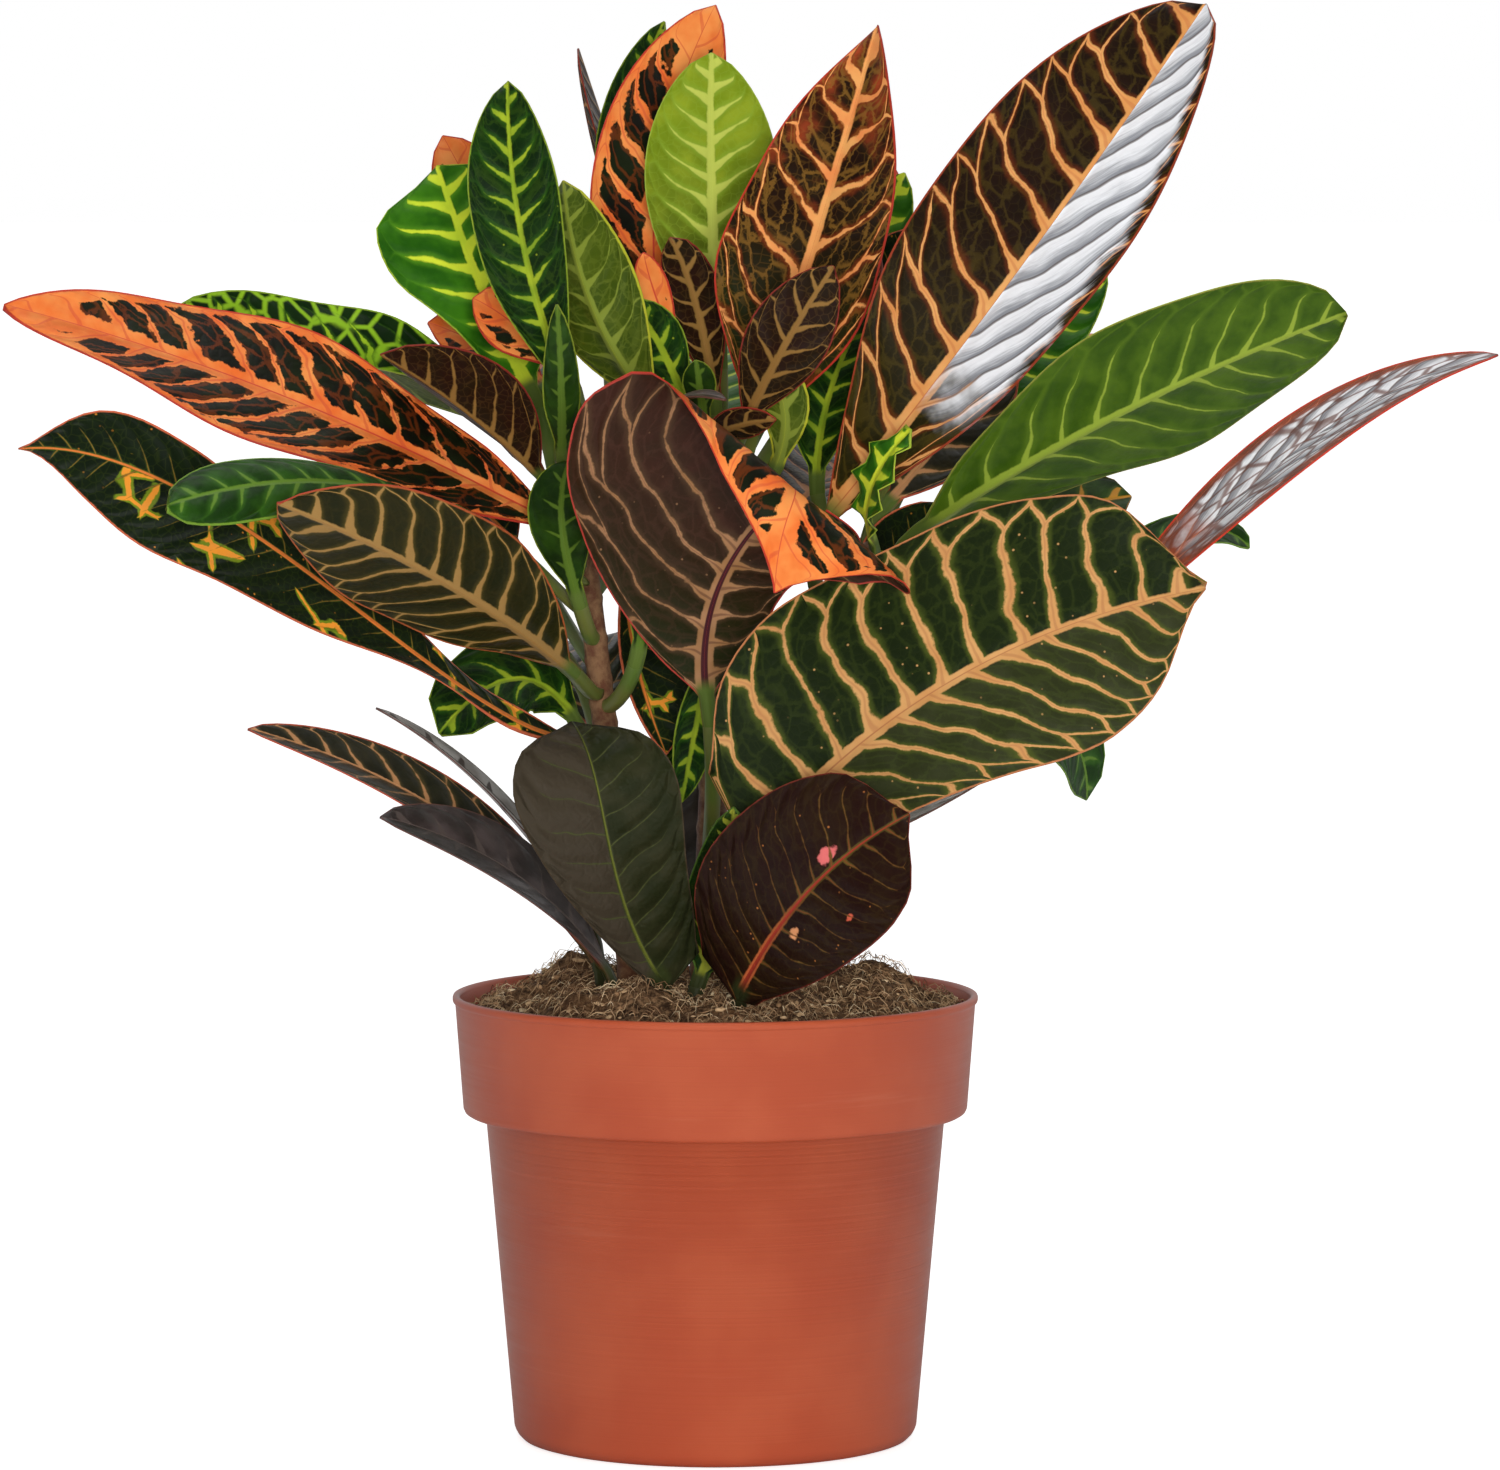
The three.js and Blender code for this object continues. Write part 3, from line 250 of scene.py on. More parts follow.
        (-87, -46, 170)), (0.45, -0.35, 0.8), fold=12),
    leaf("low_6", "ash", "ash", ("soil", -31, 4), 15, ((-34, 4, 139), (-60, 14, 171), (-91, 16, 194)),
        (0.6, -0.1, 0.8), fold=10),
    leaf("low_7", "dusk", "wine_back", ("soil", -12, 26), 38, ((-12, 28, 128), (-18, 52, 156),
        (-26, 80, 174)), (0, -0.7, 0.7), fold=10),
    leaf("low_8", "wine", "wine_back", ("soil", 18, 24), 38, ((18, 26, 126), (28, 50, 152), (36, 76, 168)),
        (0, -0.7, 0.7), fold=10),
    # Back, where the front view doesn't reach
    leaf("back_1", "ember", "umber_back", ("left", 234), 44, ((-40, 26, 262), (-62, 76, 278),
        (-78, 128, 282)), (0, -0.3, 0.95), fold=10, wave=1.5),
    leaf("back_2", "peachy", "moss_back", ("left", 226), 42, ((-26, 26, 244), (-30, 88, 264),
        (-34, 150, 258)), (0, -0.2, 0.95), fold=10, wave=1.5),
    leaf("back_3", "bright", "moss_back", ("middle", 204), 46, ((-2, 34, 252), (-2, 96, 284),
        (-2, 160, 290)), (0, -0.4, 0.9), fold=10, wave=1.5),
    leaf("back_4", "dark_copper", "wine_back", ("middle", 188), 44, ((12, 18, 236), (38, 84, 258),
        (58, 150, 252)), (0, -0.2, 0.95), fold=10, wave=1.5),
    leaf("back_5", "ember", "umber_back", ("right", 222), 46, ((52, 26, 256), (76, 68, 282),
        (98, 122, 290)), (0, -0.3, 0.95), fold=10, wave=1.5),
    leaf("back_6", "blotched", "wine_back", ("left", 208), 40, ((-54, 38, 236), (-78, 66, 254),
        (-108, 98, 260)), (0.2, -0.3, 0.9), fold=10, wave=1.5),
    leaf("back_7", "netted", "olive_back", ("left", 250), 30, ((-30, 34, 290), (-40, 64, 308),
        (-48, 98, 322)), (0, -0.7, 0.7), fold=10, wave=1),
    leaf("back_8", "ember", "wine_back", ("middle", 232), 40, ((14, 40, 288), (28, 74, 320),
        (44, 104, 342)), (0, -0.7, 0.7), fold=10, wave=1),
    leaf("back_9", "cinnabar", "wine_back", ("left", 174), 38, ((-30, 14, 186), (-42, 58, 206),
        (-52, 108, 200)), (0, -0.2, 0.95), fold=10, wave=1.5),
    leaf("back_10", "mossy", "moss_back", ("right", 174), 42, ((30, 14, 186), (48, 62, 208),
        (64, 112, 200)), (0, -0.2, 0.95), fold=10, wave=1.5),
    leaf("back_11", "wine", "wine_back", ("middle", 176), 44, ((0, 18, 202), (0, 76, 226), (2, 130, 216)),
        (0, -0.2, 0.95), fold=10, wave=1.5),
]


# ---- Curves and surfaces of a leaf, in millimetres --------------------------------------------


def curve_point(points, time):
    """The smooth curve through evenly timed points, by repeated blending of neighbours."""
    level = [Vector(p) for p in points]
    last = len(points) - 1
    for span in range(1, last + 1):
        for i in range(last - span + 1):
            level[i] = level[i].lerp(level[i + 1], (time * last - i) / span)
    return level[0]


def curve_direction(points, time, nudge=0.01):
    return (curve_point(points, time + nudge) - curve_point(points, time - nudge)).normalized()


def shares_at(shares, along):
    """Smooth value at a place along a row of evenly spaced shares."""
    spot = min(max(along, 0), 1) * (len(shares) - 1)
    i = min(int(spot), len(shares) - 2)
    w = spot - i
    p0, p1 = shares[max(i - 1, 0)], shares[i]
    p2, p3 = shares[i + 1], shares[min(i + 2, len(shares) - 1)]
    v0, v1 = (p2 - p0) / 2, (p3 - p1) / 2
    return (2 * p1 - 2 * p2 + v0 + v1) * w**3 + (-3 * p1 + 3 * p2 - 2 * v0 - v1) * w**2 + v0 * w + p1


def width_share(row, along, shares, full_base=0.95):
    """The share of its half width that a blade has at a place along it."""
    if shares:
        return shares_at(shares, along)
    widest, blunt = row.get("widest", 0.55), row.get("blunt", 0.62)
    if along < widest:
        return math.sin(math.pi / 2 * along / widest) ** full_base
    return max(0.0, math.cos(math.pi / 2 * (along - widest) / (1 - widest))) ** blunt


def stem_time(path, height, halvings=24):
    """Where along a stem's middle line a height is, by halving."""
    low, high = 0.0, 1.0
    for _ in range(halvings):
        middle = (low + high) / 2
        if curve_point(path, middle).z < height:
            low = middle
        else:
            high = middle
    return (low + high) / 2


def soil_level(x, y):
    """The level of the heaped soil, without its crumbs."""
    distance = math.hypot(x, y) / (COLLAR_TOP - POT_WALL)
    level = SOIL_EDGE + SOIL_CROWN * (1 - distance**2)
    for heap_x, heap_y, rise, reach in HEAPS:
        away = math.hypot(x - heap_x, y - heap_y) / reach
        level += rise * math.exp(-(away**2)) * min(1, WALL_SLOPE * (1 - distance))
    return level + SOIL_RIPPLE * (math.sin(x * 0.31 + 1) + math.sin(y * 0.37 + x * 0.13))


def stalk_start(row):
    """The foot of a leaf's stalk and the way that it leaves its stem or the soil."""
    if row["root"][0] == "soil":
        x, y = row["root"][1:]
        return Vector((x, y, soil_level(x, y) - STALK_BURIED)), Vector((0, 0, 1))
    stem, height = row["root"]
    path, foot, tip = STEMS[stem]
    time = stem_time(path, height)
    middle, grain = curve_point(path, time), curve_direction(path, time)
    outward = Vector(row["rib"][0]) - middle
    outward = (outward - grain * outward.dot(grain)).normalized()
    radius = foot + (tip - foot) * time
    return middle + outward * (0 if row.get("grown") else radius - STALK_SUNK), outward


def stalk_path(row):
    """The four points that lead the stalk's curve: it meets the blade along the midrib."""
    foot, outward = stalk_start(row)
    base = Vector(row["rib"][0])
    reach = (base - foot).length
    start = foot + outward * min(STALK_OUT * reach, STALK_START)
    return foot, start, base - curve_direction(row["rib"], 0) * STALK_IN * reach, base


def led_curve(points, time):
    """A point of the curve that four points lead, and its direction there."""
    a, b, c, d = points
    rest = 1 - time
    place = a * rest**3 + b * 3 * rest**2 * time + c * 3 * rest * time**2 + d * time**3
    slope = (b - a) * 3 * rest**2 + (c - b) * 6 * rest * time + (d - c) * 3 * time**2
    return place, slope.normalized()


def blade_frame(row, along):
    """The midrib's point at a place along the blade, and the ways to the side and up there."""
    forward = curve_direction(row["rib"], along)
    look = Vector(row["face"]).normalized()
    if "tipFace" in row:
        look = look.lerp(Vector(row["tipFace"]).normalized(), along)
    side = forward.cross(look).normalized()
    return curve_point(row["rib"], along), side, side.cross(forward)


def blade_place(row, spine, along, across):
    """A point of the blade's middle surface, its upward direction and its distance from the rib."""
    middle, side, up = spine
    right = across > 0
    full = row["width"] / 2 * row.get("right" if right else "left", 1)
    share = width_share(row, along, row.get("rightShares" if right else "leftShares"))
    half = max(STALK_HALF * (1 - along) + TIP_HALF, full * share)
    grown = min(1, along * OPENS)
    sign = (across > 0) - (across < 0)
    tilt = math.radians(row.get("fold", 8)) * grown * sign
    reach = half * abs(across)
    turns = TURN * row.get("waves", 2.5) * along + (0 if right else OTHER_SIDE)
    rise = (row.get("cup", 0) + row.get("wave", 0) * math.sin(turns)) * grown * across**2
    point = middle + side * (reach * math.cos(tilt) * sign) + up * (reach * abs(math.sin(tilt)) + rise)
    return point, up * math.cos(tilt) - side * math.sin(tilt), reach * sign


def unrolled(point):
    return point


def rolled(point):
    """Bends what lies beyond the rolling line round a cylinder and on, flat, past its turn."""
    over = Vector(ROLL_OVER)
    beyond = over.cross(Vector(ROLL_ALONG).normalized())
    offset = point - Vector(ROLL_AT)
    past = offset.dot(beyond)
    if past <= 0:
        return point
    height = offset.dot(over)
    angle = min(past / ROLL_RADIUS, ROLL_TURN)
    rest = past - angle * ROLL_RADIUS
    inner = ROLL_RADIUS - height
    return (
        point
        + beyond * (inner * math.sin(angle) + rest * math.cos(angle) - past)
        + over * (ROLL_RADIUS - inner * math.cos(angle) + rest * math.sin(angle) - height)
    )


# ---- Making pieces --------------------------------------------------------------------------


def placed(name, data):
    """An object in the scene with this mesh, light or camera."""
    made = bpy.data.objects.new(name, data)
    bpy.context.scene.collection.objects.link(made)
    return made


def solid(name, bm):
    """An object with the bmesh's shape."""
    mesh = bpy.data.meshes.new(name)
    bm.to_mesh(mesh)
    bm.free()
    return placed(name, mesh)


def skin(bm, around, rows, place):
    """A closed skin: a grid whose rows are rings of points, from place(column, row)."""
    made = bmesh.ops.create_grid(bm, x_segments=around, y_segments=rows, size=1)["verts"]
    cells = {v: (round((v.co.x + 1) / 2 * around), round((v.co.y + 1) / 2 * rows)) for v in made}
    for vert, (column, row) in cells.items():
        vert.co = place(column % around, row) * MM
    return cells


def close(bm):
    """Merges seams and poles, fills open ends and turns every face outwards."""
    bmesh.ops.remove_doubles(bm, verts=bm.verts, dist=1e-7)
    ends = [edge for edge in bm.edges if edge.is_boundary]
    if ends:
        bmesh.ops.holes_fill(bm, edges=ends, sides=0)
    bmesh.ops.recalc_face_normals(bm, faces=bm.faces)


def piece(name, bm, finishes, slot, *nodes):
    """Turns the bmesh into a smooth piece that rides on the part and stands for CAD nodes."""
    for face in bm.faces:
        face.smooth = True
    made = solid(name, bm)
    for finish in finishes:
        made.data.materials.append(finish)
    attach(made, "root")
    if nodes:
        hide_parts(*nodes)
    return made


# ---- Leaves and stems -----------------------------------------------------------------------


def leaf_rings(row):
    """How finely a blade is divided: columns across each side and rows along it."""
    length = (Vector(row["rib"][-1]) - Vector(row["rib"][0])).length
    step = FINE_STEP if row["name"] == ROLLED_LEAF else ROW_STEP
    return (SMALL_COLUMNS if row["width"] < SMALL_LEAF else COLUMNS), max(12, round(length / step))


def across_of(column, columns):
    """Where a column lies, from -1 to 1 across the blade, closer together near the midrib."""
    share = 2 * column / columns - 1
    if column > columns:
        share = 1 - 2 * (column - columns - 1) / columns
    return share * abs(share) ** TOWARDS_RIB


def stalk_point(stalk, face_up, time, across, upper):
    """A point of the stalk's skin: a channel above and a round back."""
    middle, forward = led_curve(stalk, time)
    side = forward.cross(face_up).normalized()
    swell = STALK_ROUND * (1 - across**2)
    thick = STALK_THIN + swell * 0.5 if upper else -STALK_THIN - swell
    return middle + side * (STALK_WIDE * across) + side.cross(forward) * thick


def blade_point(row, spine, along, across, upper):
    """A point of the blade's skin: thin at the rim, with the midrib's ridge underneath."""
    point, normal, away = blade_place(row, spine, along, across)
    plain = max(0, 1 - along * SWELL_ENDS)
    swell = STALK_ROUND * plain * (1 - across**2)
    thick = BLADE_THICK + (RIM_THICK - BLADE_THICK) * across**RIM_SHARP
    if upper:
        return point + normal * (thick / 2 + swell * 0.5)
    ridge = BLADE_RIDGE * (1 - along) ** RIDGE_FADE * (1 - plain)
    ridge *= math.exp(-((away / RIDGE_HALF) ** 2))
    return point - normal * (thick / 2 + swell + ridge)


def add_leaf(bm, row, slots):
    """Adds a leaf's skin: its stalk first, then the blade, upper side, rim and underside."""
    columns, rows = leaf_rings(row)
    around, last = 2 * columns + 2, STALK_ROWS + rows
    stalk = stalk_path(row)
    face_up = Vector(row["face"])
    spines = [blade_frame(row, i / rows) for i in range(rows + 1)]
    turn = rolled if row["name"] == ROLLED_LEAF else unrolled

    def place(column, ring):
        across, upper = across_of(column, columns), column <= columns
        if ring < STALK_ROWS:
            return turn(stalk_point(stalk, face_up, ring / STALK_ROWS, across, upper))
        step = ring - STALK_ROWS
        return turn(blade_point(row, spines[step], step / rows, across, upper))

    cells = skin(bm, around, last, place)
    flat, share = bm.loops.layers.uv["flat"], bm.loops.layers.uv["share"]
    chance = bm.verts.layers.float["chance"]
    draw = CHANCE.uniform(0, 40)
    lengths = [0.0]
    for a, b in zip(spines, spines[1:]):
        lengths.append(lengths[-1] + (b[0] - a[0]).length)
    marks = {}
    for vert, (column, ring) in cells.items():
        vert[chance] = draw
        across = across_of(column if column < around else 0, columns)
        step = max(0, ring - STALK_ROWS)
        away = blade_place(row, spines[step], step / rows, across)[2]
        marks[vert] = (away, lengths[step], across, step / rows)
    rims = (0, columns, columns + 1, around - 1, around)
    for face in {f for v in cells for f in v.link_faces}:
        column = min(cells[v][0] for v in face.verts)
        ring = min(cells[v][1] for v in face.verts)
        side = "back" if columns < column < around - 1 else "top"
        face.material_index = slots["stalk" if ring < STALK_ROWS - 1 else side]
        for loop in face.loops:
            away, length, across, along = marks[loop.vert]
            loop[flat].uv = (away, length)
            loop[share].uv = (across, along)
        for edge in face.edges:
            a, b = (cells[v][0] for v in edge.verts)
            if a == b and a in rims and ring >= STALK_ROWS:
                edge.smooth = False


def leaf_bmesh():
    """An empty bmesh with what the leaves' finishes read: places in mm, shares and a draw."""
    bm = bmesh.new()
    bm.loops.layers.uv.new("flat")
    bm.loops.layers.uv.new("share")
    bm.verts.layers.float.new("chance")
    return bm


def make_leaf(row):
    bm = leaf_bmesh()
    add_leaf(bm, row, {"top": 0, "back": 1, "stalk": 2})
    close(bm)
    looks = [FINISHES[row["top"]], FINISHES[row["back"]], FINISHES["stalk"]]
    piece("blade_" + row["name"], bm, looks, "leaf", "leaf_" + row["name"])


def make_stem(name):
    """A stem with low rings where leaves have dropped, and the young leaves grown out of it."""
    path, foot, tip = STEMS[name]
    bm = leaf_bmesh()

    def place(column, ring):
        time = ring / STEM_ROWS
        forward = curve_direction(path, time)
        side = Vector((1, 0, 0)).cross(forward).normalized()
        front = forward.cross(side)
        angle = TURN * column / STEM_SIDES
        wave = math.cos(time * SCAR_RATE + SCAR_SLANT * math.sin(angle))
        reach = foot + (tip - foot) * time + SCAR_RISE * max(0, wave) ** SCAR_SHARP - SCAR_SUNK
        if ring == STEM_ROWS:
            reach *= 0.3
        return curve_point(path, time) + side * reach * math.cos(angle) + front * reach * math.sin(angle)

    skin(bm, STEM_SIDES, STEM_ROWS, place)
    looks = [FINISHES["bark"], FINISHES["stalk"]]
    for row in LEAVES:
        if row.get("grown") and row["root"][0] == name:
            for look in (FINISHES[row["top"]], FINISHES[row["back"]]):
                if look not in looks:
                    looks.append(look)
            slots = {side: looks.index(FINISHES[row[side]]) for side in ("top", "back")}
            add_leaf(bm, row, {**slots, "stalk": 1})
    close(bm)
    piece("shoot_" + name, bm, looks, "stem", "stem_" + name)


# ---- Soil -----------------------------------------------------------------------------------


def crumbled(x, y):
    """The soil's level with its crumbs."""
    rough = 0
    for scale, roughness, step, octaves, rise in CRUMBLE:
        rough += noise.fractal(Vector((x, y, 0)) * scale, roughness, step, octaves) * rise
    near_wall = min(1, max(0, (CRUMBLE_WALL - math.hypot(x, y)) / CRUMBLE_FADE))
    return soil_level(x, y) + rough * (CRUMBLE_LEAST + (1 - CRUMBLE_LEAST) * near_wall)


def make_soil():
    """The soil's body, a little inside the pot's wall, and its crumbled top."""
    edge = COLLAR_TOP - POT_WALL - SOIL_RIM
    wall = POT_WALL + SOIL_GAP
    below = (
        (0, POT_FLOOR + SOIL_GAP),
        (BODY_BOTTOM - wall - 2, POT_FLOOR + SOIL_GAP),
        (BODY_BOTTOM - wall, POT_FLOOR + FOOT_ROUND + SOIL_GAP),
        (BODY_TOP - wall, STEP_LEVEL + POT_WALL - 1),
        (COLLAR_BOTTOM - wall, STEP_LEVEL + wall + 1),
    )
    bm = bmesh.new()

    def place(column, row):
        angle = TURN * column / SOIL_SIDES
        if row < len(below):
            radius, level = below[row]
            return Vector((radius * math.cos(angle), radius * math.sin(angle), level))
        radius = edge * (1 - (row - len(below)) / SOIL_RINGS)
        x, y = radius * math.cos(angle), radius * math.sin(angle)
        return Vector((x, y, crumbled(x, y)))

    skin(bm, SOIL_SIDES, len(below) + SOIL_RINGS, place)
    close(bm)
    piece("earth", bm, [FINISHES["earth"]], "soil", "soil")


def soil_spot(reach):
    """A place on the soil, drawn evenly over its round."""
    angle, radius = CHANCE.uniform(0, TURN), reach * math.sqrt(CHANCE.random())
    x, y = radius * math.cos(angle), radius * math.sin(angle)
    return Vector((x, y, crumbled(x, y)))


def make_fibres(name, count, long, thick, lift):
    """Curly fibres that lie over the soil, each a thin spindle."""
    bm = bmesh.new()
    chance = bm.verts.layers.float.new("chance")
    rows = FIBRE_ROWS
    for _ in range(count):
        spot = soil_spot(FIBRE_SPOT)
        heading, bend = CHANCE.uniform(0, TURN), CHANCE.gauss(0, FIBRE_BEND)
        length, half = CHANCE.uniform(*long), CHANCE.uniform(*thick) / 2
        rise, draw = CHANCE.uniform(*lift), CHANCE.random()
        spine = []
        for row in range(rows + 1):
            time = row / rows
            way = heading + bend * time
            spine.append(spot + Vector((0, 0, FIBRE_LIFT + rise * math.sin(math.pi * time))))
            spot = spot + Vector((math.cos(way), math.sin(way), 0)) * (length / rows)
            if spot.xy.length > FIBRE_REACH:
                spot = spot * (FIBRE_REACH / spot.xy.length)
            spot.z = crumbled(spot.x, spot.y)

        def place(column, row, spine=spine, half=half):
            ahead = spine[min(row + 1, rows)] - spine[max(row - 1, 0)]
            side = ahead.cross(Vector((0.1, 0, 1))).normalized()
            up = side.cross(ahead).normalized()
            angle = TURN * column / FIBRE_SIDES
            reach = half * math.sin(math.pi * row / rows) ** 0.5 if 0 < row < rows else 0
            return spine[row] + side * reach * math.cos(angle) + up * reach * math.sin(angle)

        for vert in skin(bm, FIBRE_SIDES, rows, place):
            vert[chance] = draw
    close(bm)
    piece(name, bm, [FINISHES["fibre"]], "soil")


def make_crumbs(name, count, size):
    """Small lumps and chips of bark, half sunk in the soil."""
    bm = bmesh.new()
    chance = bm.verts.layers.float.new("chance")
    lump_rise, lump_scale = CRUMB_LUMPS
    for _ in range(count):
        spot = soil_spot(CRUMB_REACH)
        verts = bmesh.ops.create_icosphere(bm, subdivisions=1, radius=1)["verts"]
        reach = CHANCE.uniform(*size)
        stretch = Vector([CHANCE.uniform(*limits) for limits in CRUMB_SHAPE])
        draw, turn = CHANCE.random(), CHANCE.uniform(0, math.pi)
        for vert in verts:
            vert[chance] = draw
            lump = 1 + lump_rise * noise.noise(vert.co * lump_scale + spot)
            x, y, z = (vert.co[i] * stretch[i] * reach * lump for i in range(3))
            turned_x = x * math.cos(turn) - y * math.sin(turn)
            turned_y = x * math.sin(turn) + y * math.cos(turn)
            vert.co = (spot + Vector((turned_x, turned_y, z))) * MM
    bmesh.ops.recalc_face_normals(bm, faces=bm.faces)
    piece(name, bm, [FINISHES["fibre"]], "soil")


# ---- Pot ------------------------------------------------------------------------------------


def pot_profile():
    """Radius and level of each edge: under the foot, up the outside, over the lip and down again."""
    lip = POT_HEIGHT - LIP_HEIGHT
    inner = COLLAR_TOP - POT_WALL
    return (
        # foot
        (0, 0), (CHANNEL_INNER, 0), (CHANNEL_INNER + 1, CHANNEL_RISE), (CHANNEL_OUTER - 1, CHANNEL_RISE),
        (CHANNEL_OUTER, 0), (FOOT_RADIUS, 0), *FOOT_CURVE, (BODY_BOTTOM, FOOT_ROUND),
        # body, step and collar
        (BODY_TOP, STEP_LEVEL - 1), (COLLAR_BOTTOM - 1.2, STEP_LEVEL - 0.2),
        (COLLAR_BOTTOM - 0.4, STEP_LEVEL + 0.3), (COLLAR_BOTTOM, STEP_LEVEL + 1.2),
        (COLLAR_TOP, lip - 0.5), (COLLAR_TOP + 0.25, lip - 0.1),
        # lip
        (LIP_RADIUS - 0.15, lip + 0.1), (LIP_RADIUS, lip + 0.5), (LIP_RADIUS, POT_HEIGHT - LIP_INSET),
        (LIP_RADIUS - 0.2, POT_HEIGHT - 0.2), (LIP_RADIUS - LIP_INSET, POT_HEIGHT),
        (inner + 0.9, POT_HEIGHT), (inner + 0.3, POT_HEIGHT - 0.3), (inner, POT_HEIGHT - 1),
        # inside
        (COLLAR_BOTTOM - POT_WALL, STEP_LEVEL + POT_WALL + 1),
        (BODY_TOP - POT_WALL, STEP_LEVEL + POT_WALL - 1), (BODY_BOTTOM - POT_WALL, POT_FLOOR + FOOT_ROUND),
        (BODY_BOTTOM - POT_WALL - 2, POT_FLOOR), (0, POT_FLOOR),
    )


def drain_drills():
    """The round drills that bore the drain holes."""
    bm = bmesh.new()
    radius = DRAIN_RADIUS * MM
    for i in range(DRAINS):
        turn = TURN * i / DRAINS
        drill = bmesh.ops.create_cone(bm, cap_ends=True, segments=DRAIN_SIDES, radius1=radius,
                                      radius2=radius, depth=4 * POT_FLOOR * MM)["verts"]
        away = Vector((DRAIN_RING * math.cos(turn), DRAIN_RING * math.sin(turn), POT_FLOOR / 2)) * MM
        bmesh.ops.translate(bm, verts=drill, vec=away)
    return solid("drills", bm)


def make_pot():
    """The pot's shell, spun round, with its drain holes bored."""
    bm = bmesh.new()
    line = [bm.verts.new(Vector((radius, 0, level)) * MM) for radius, level in pot_profile()]
    edges = [bm.edges.new(pair) for pair in zip(line, line[1:])]
    bmesh.ops.spin(bm, geom=line + edges, cent=(0, 0, 0), axis=(0, 0, 1), dvec=(0, 0, 0), angle=TURN,
                   steps=POT_SIDES, use_merge=True, use_normal_flip=False, use_duplicate=False)
    close(bm)
    pot = piece("pot_shell", bm, [FINISHES["pot"]], "pot", "pot")
    drills = drain_drills()
    cut = pot.modifiers.new("drain holes", "BOOLEAN")
    cut.operation, cut.object, cut.solver = "DIFFERENCE", drills, "EXACT"
    whole = pot.evaluated_get(bpy.context.evaluated_depsgraph_get())
    finished = bpy.data.meshes.new_from_object(whole)
    pot.modifiers.clear()
    pot.data = finished
    bpy.data.objects.remove(drills)


# ---- Finishes -------------------------------------------------------------------------------
# Every colour is given by its screen values, 0 to 255, and Finish.feed makes it a shader's colour.

WHITE, BLACK = (255, 255, 255), (0, 0, 0)
# Painted shade: stalks are painted darker near the soil, where shade falls under the leaves.
STALK_TONE, SHADED_STALK_TONE = (92, 112, 48), (40, 42, 24)
SOIL_FADE = (0.118, 0.16)  # metres up: a stalk is darker near the soil
# Painted sheen: the dark and pale tones of a silvery reflection painted on some leaves, and the painted
# shade in the grooves along their side veins. The crack tone is the leaf's own brown between the sheen's
# patches.
PAINTED_SHEEN_DARK, PAINTED_SHEEN_PALE = (140, 142, 148), (246, 247, 250)
PAINTED_GROOVE_SHADE, CRACK_TONE = (88, 76, 72), (104, 58, 40)
LEAF_GLOSS, QUILT_DEPTH = 0.4, 0.0009


def tint(red, green, blue):
    """A colour from its screen values, as the shader wants it."""

    def linear(c):
        c /= 255
        return c / 12.92 if c <= 0.04045 else ((c + 0.055) / 1.055) ** 2.4

    return (linear(red), linear(green), linear(blue), 1)


def sums(operation, swapped=False):
    """A method of Amount that adds a Math node with this operation to its finish."""

    def method(self, *others):
        terms = (*others, self) if swapped else (self, *others)
        return self.finish.add("ShaderNodeMath", {"operation": operation}, dict(enumerate(terms)))

    return method


class Amount:
    """A value that varies over a surface. Sums on it add Math nodes to its finish."""

    def __init__(self, finish, socket):
        self.finish, self.socket = finish, socket

    __add__ = __radd__ = sums("ADD")
    __mul__ = __rmul__ = sums("MULTIPLY")
    __sub__ = sums("SUBTRACT")
    __rsub__ = sums("SUBTRACT", swapped=True)
    __truediv__ = sums("DIVIDE")
    __pow__ = sums("POWER")
    __gt__ = sums("GREATER_THAN")
    __abs__ = sums("ABSOLUTE")
    fract = sums("FRACT")
    floor = sums("FLOOR")
    most = sums("MAXIMUM")

    def ramp(self, low, high):
        """0 up to low and 1 from high on, smooth between them."""
        values = {"Value": self, "From Min": low, "From Max": high}
        return self.finish.add("ShaderNodeMapRange", {"interpolation_type": "SMOOTHSTEP"}, values)


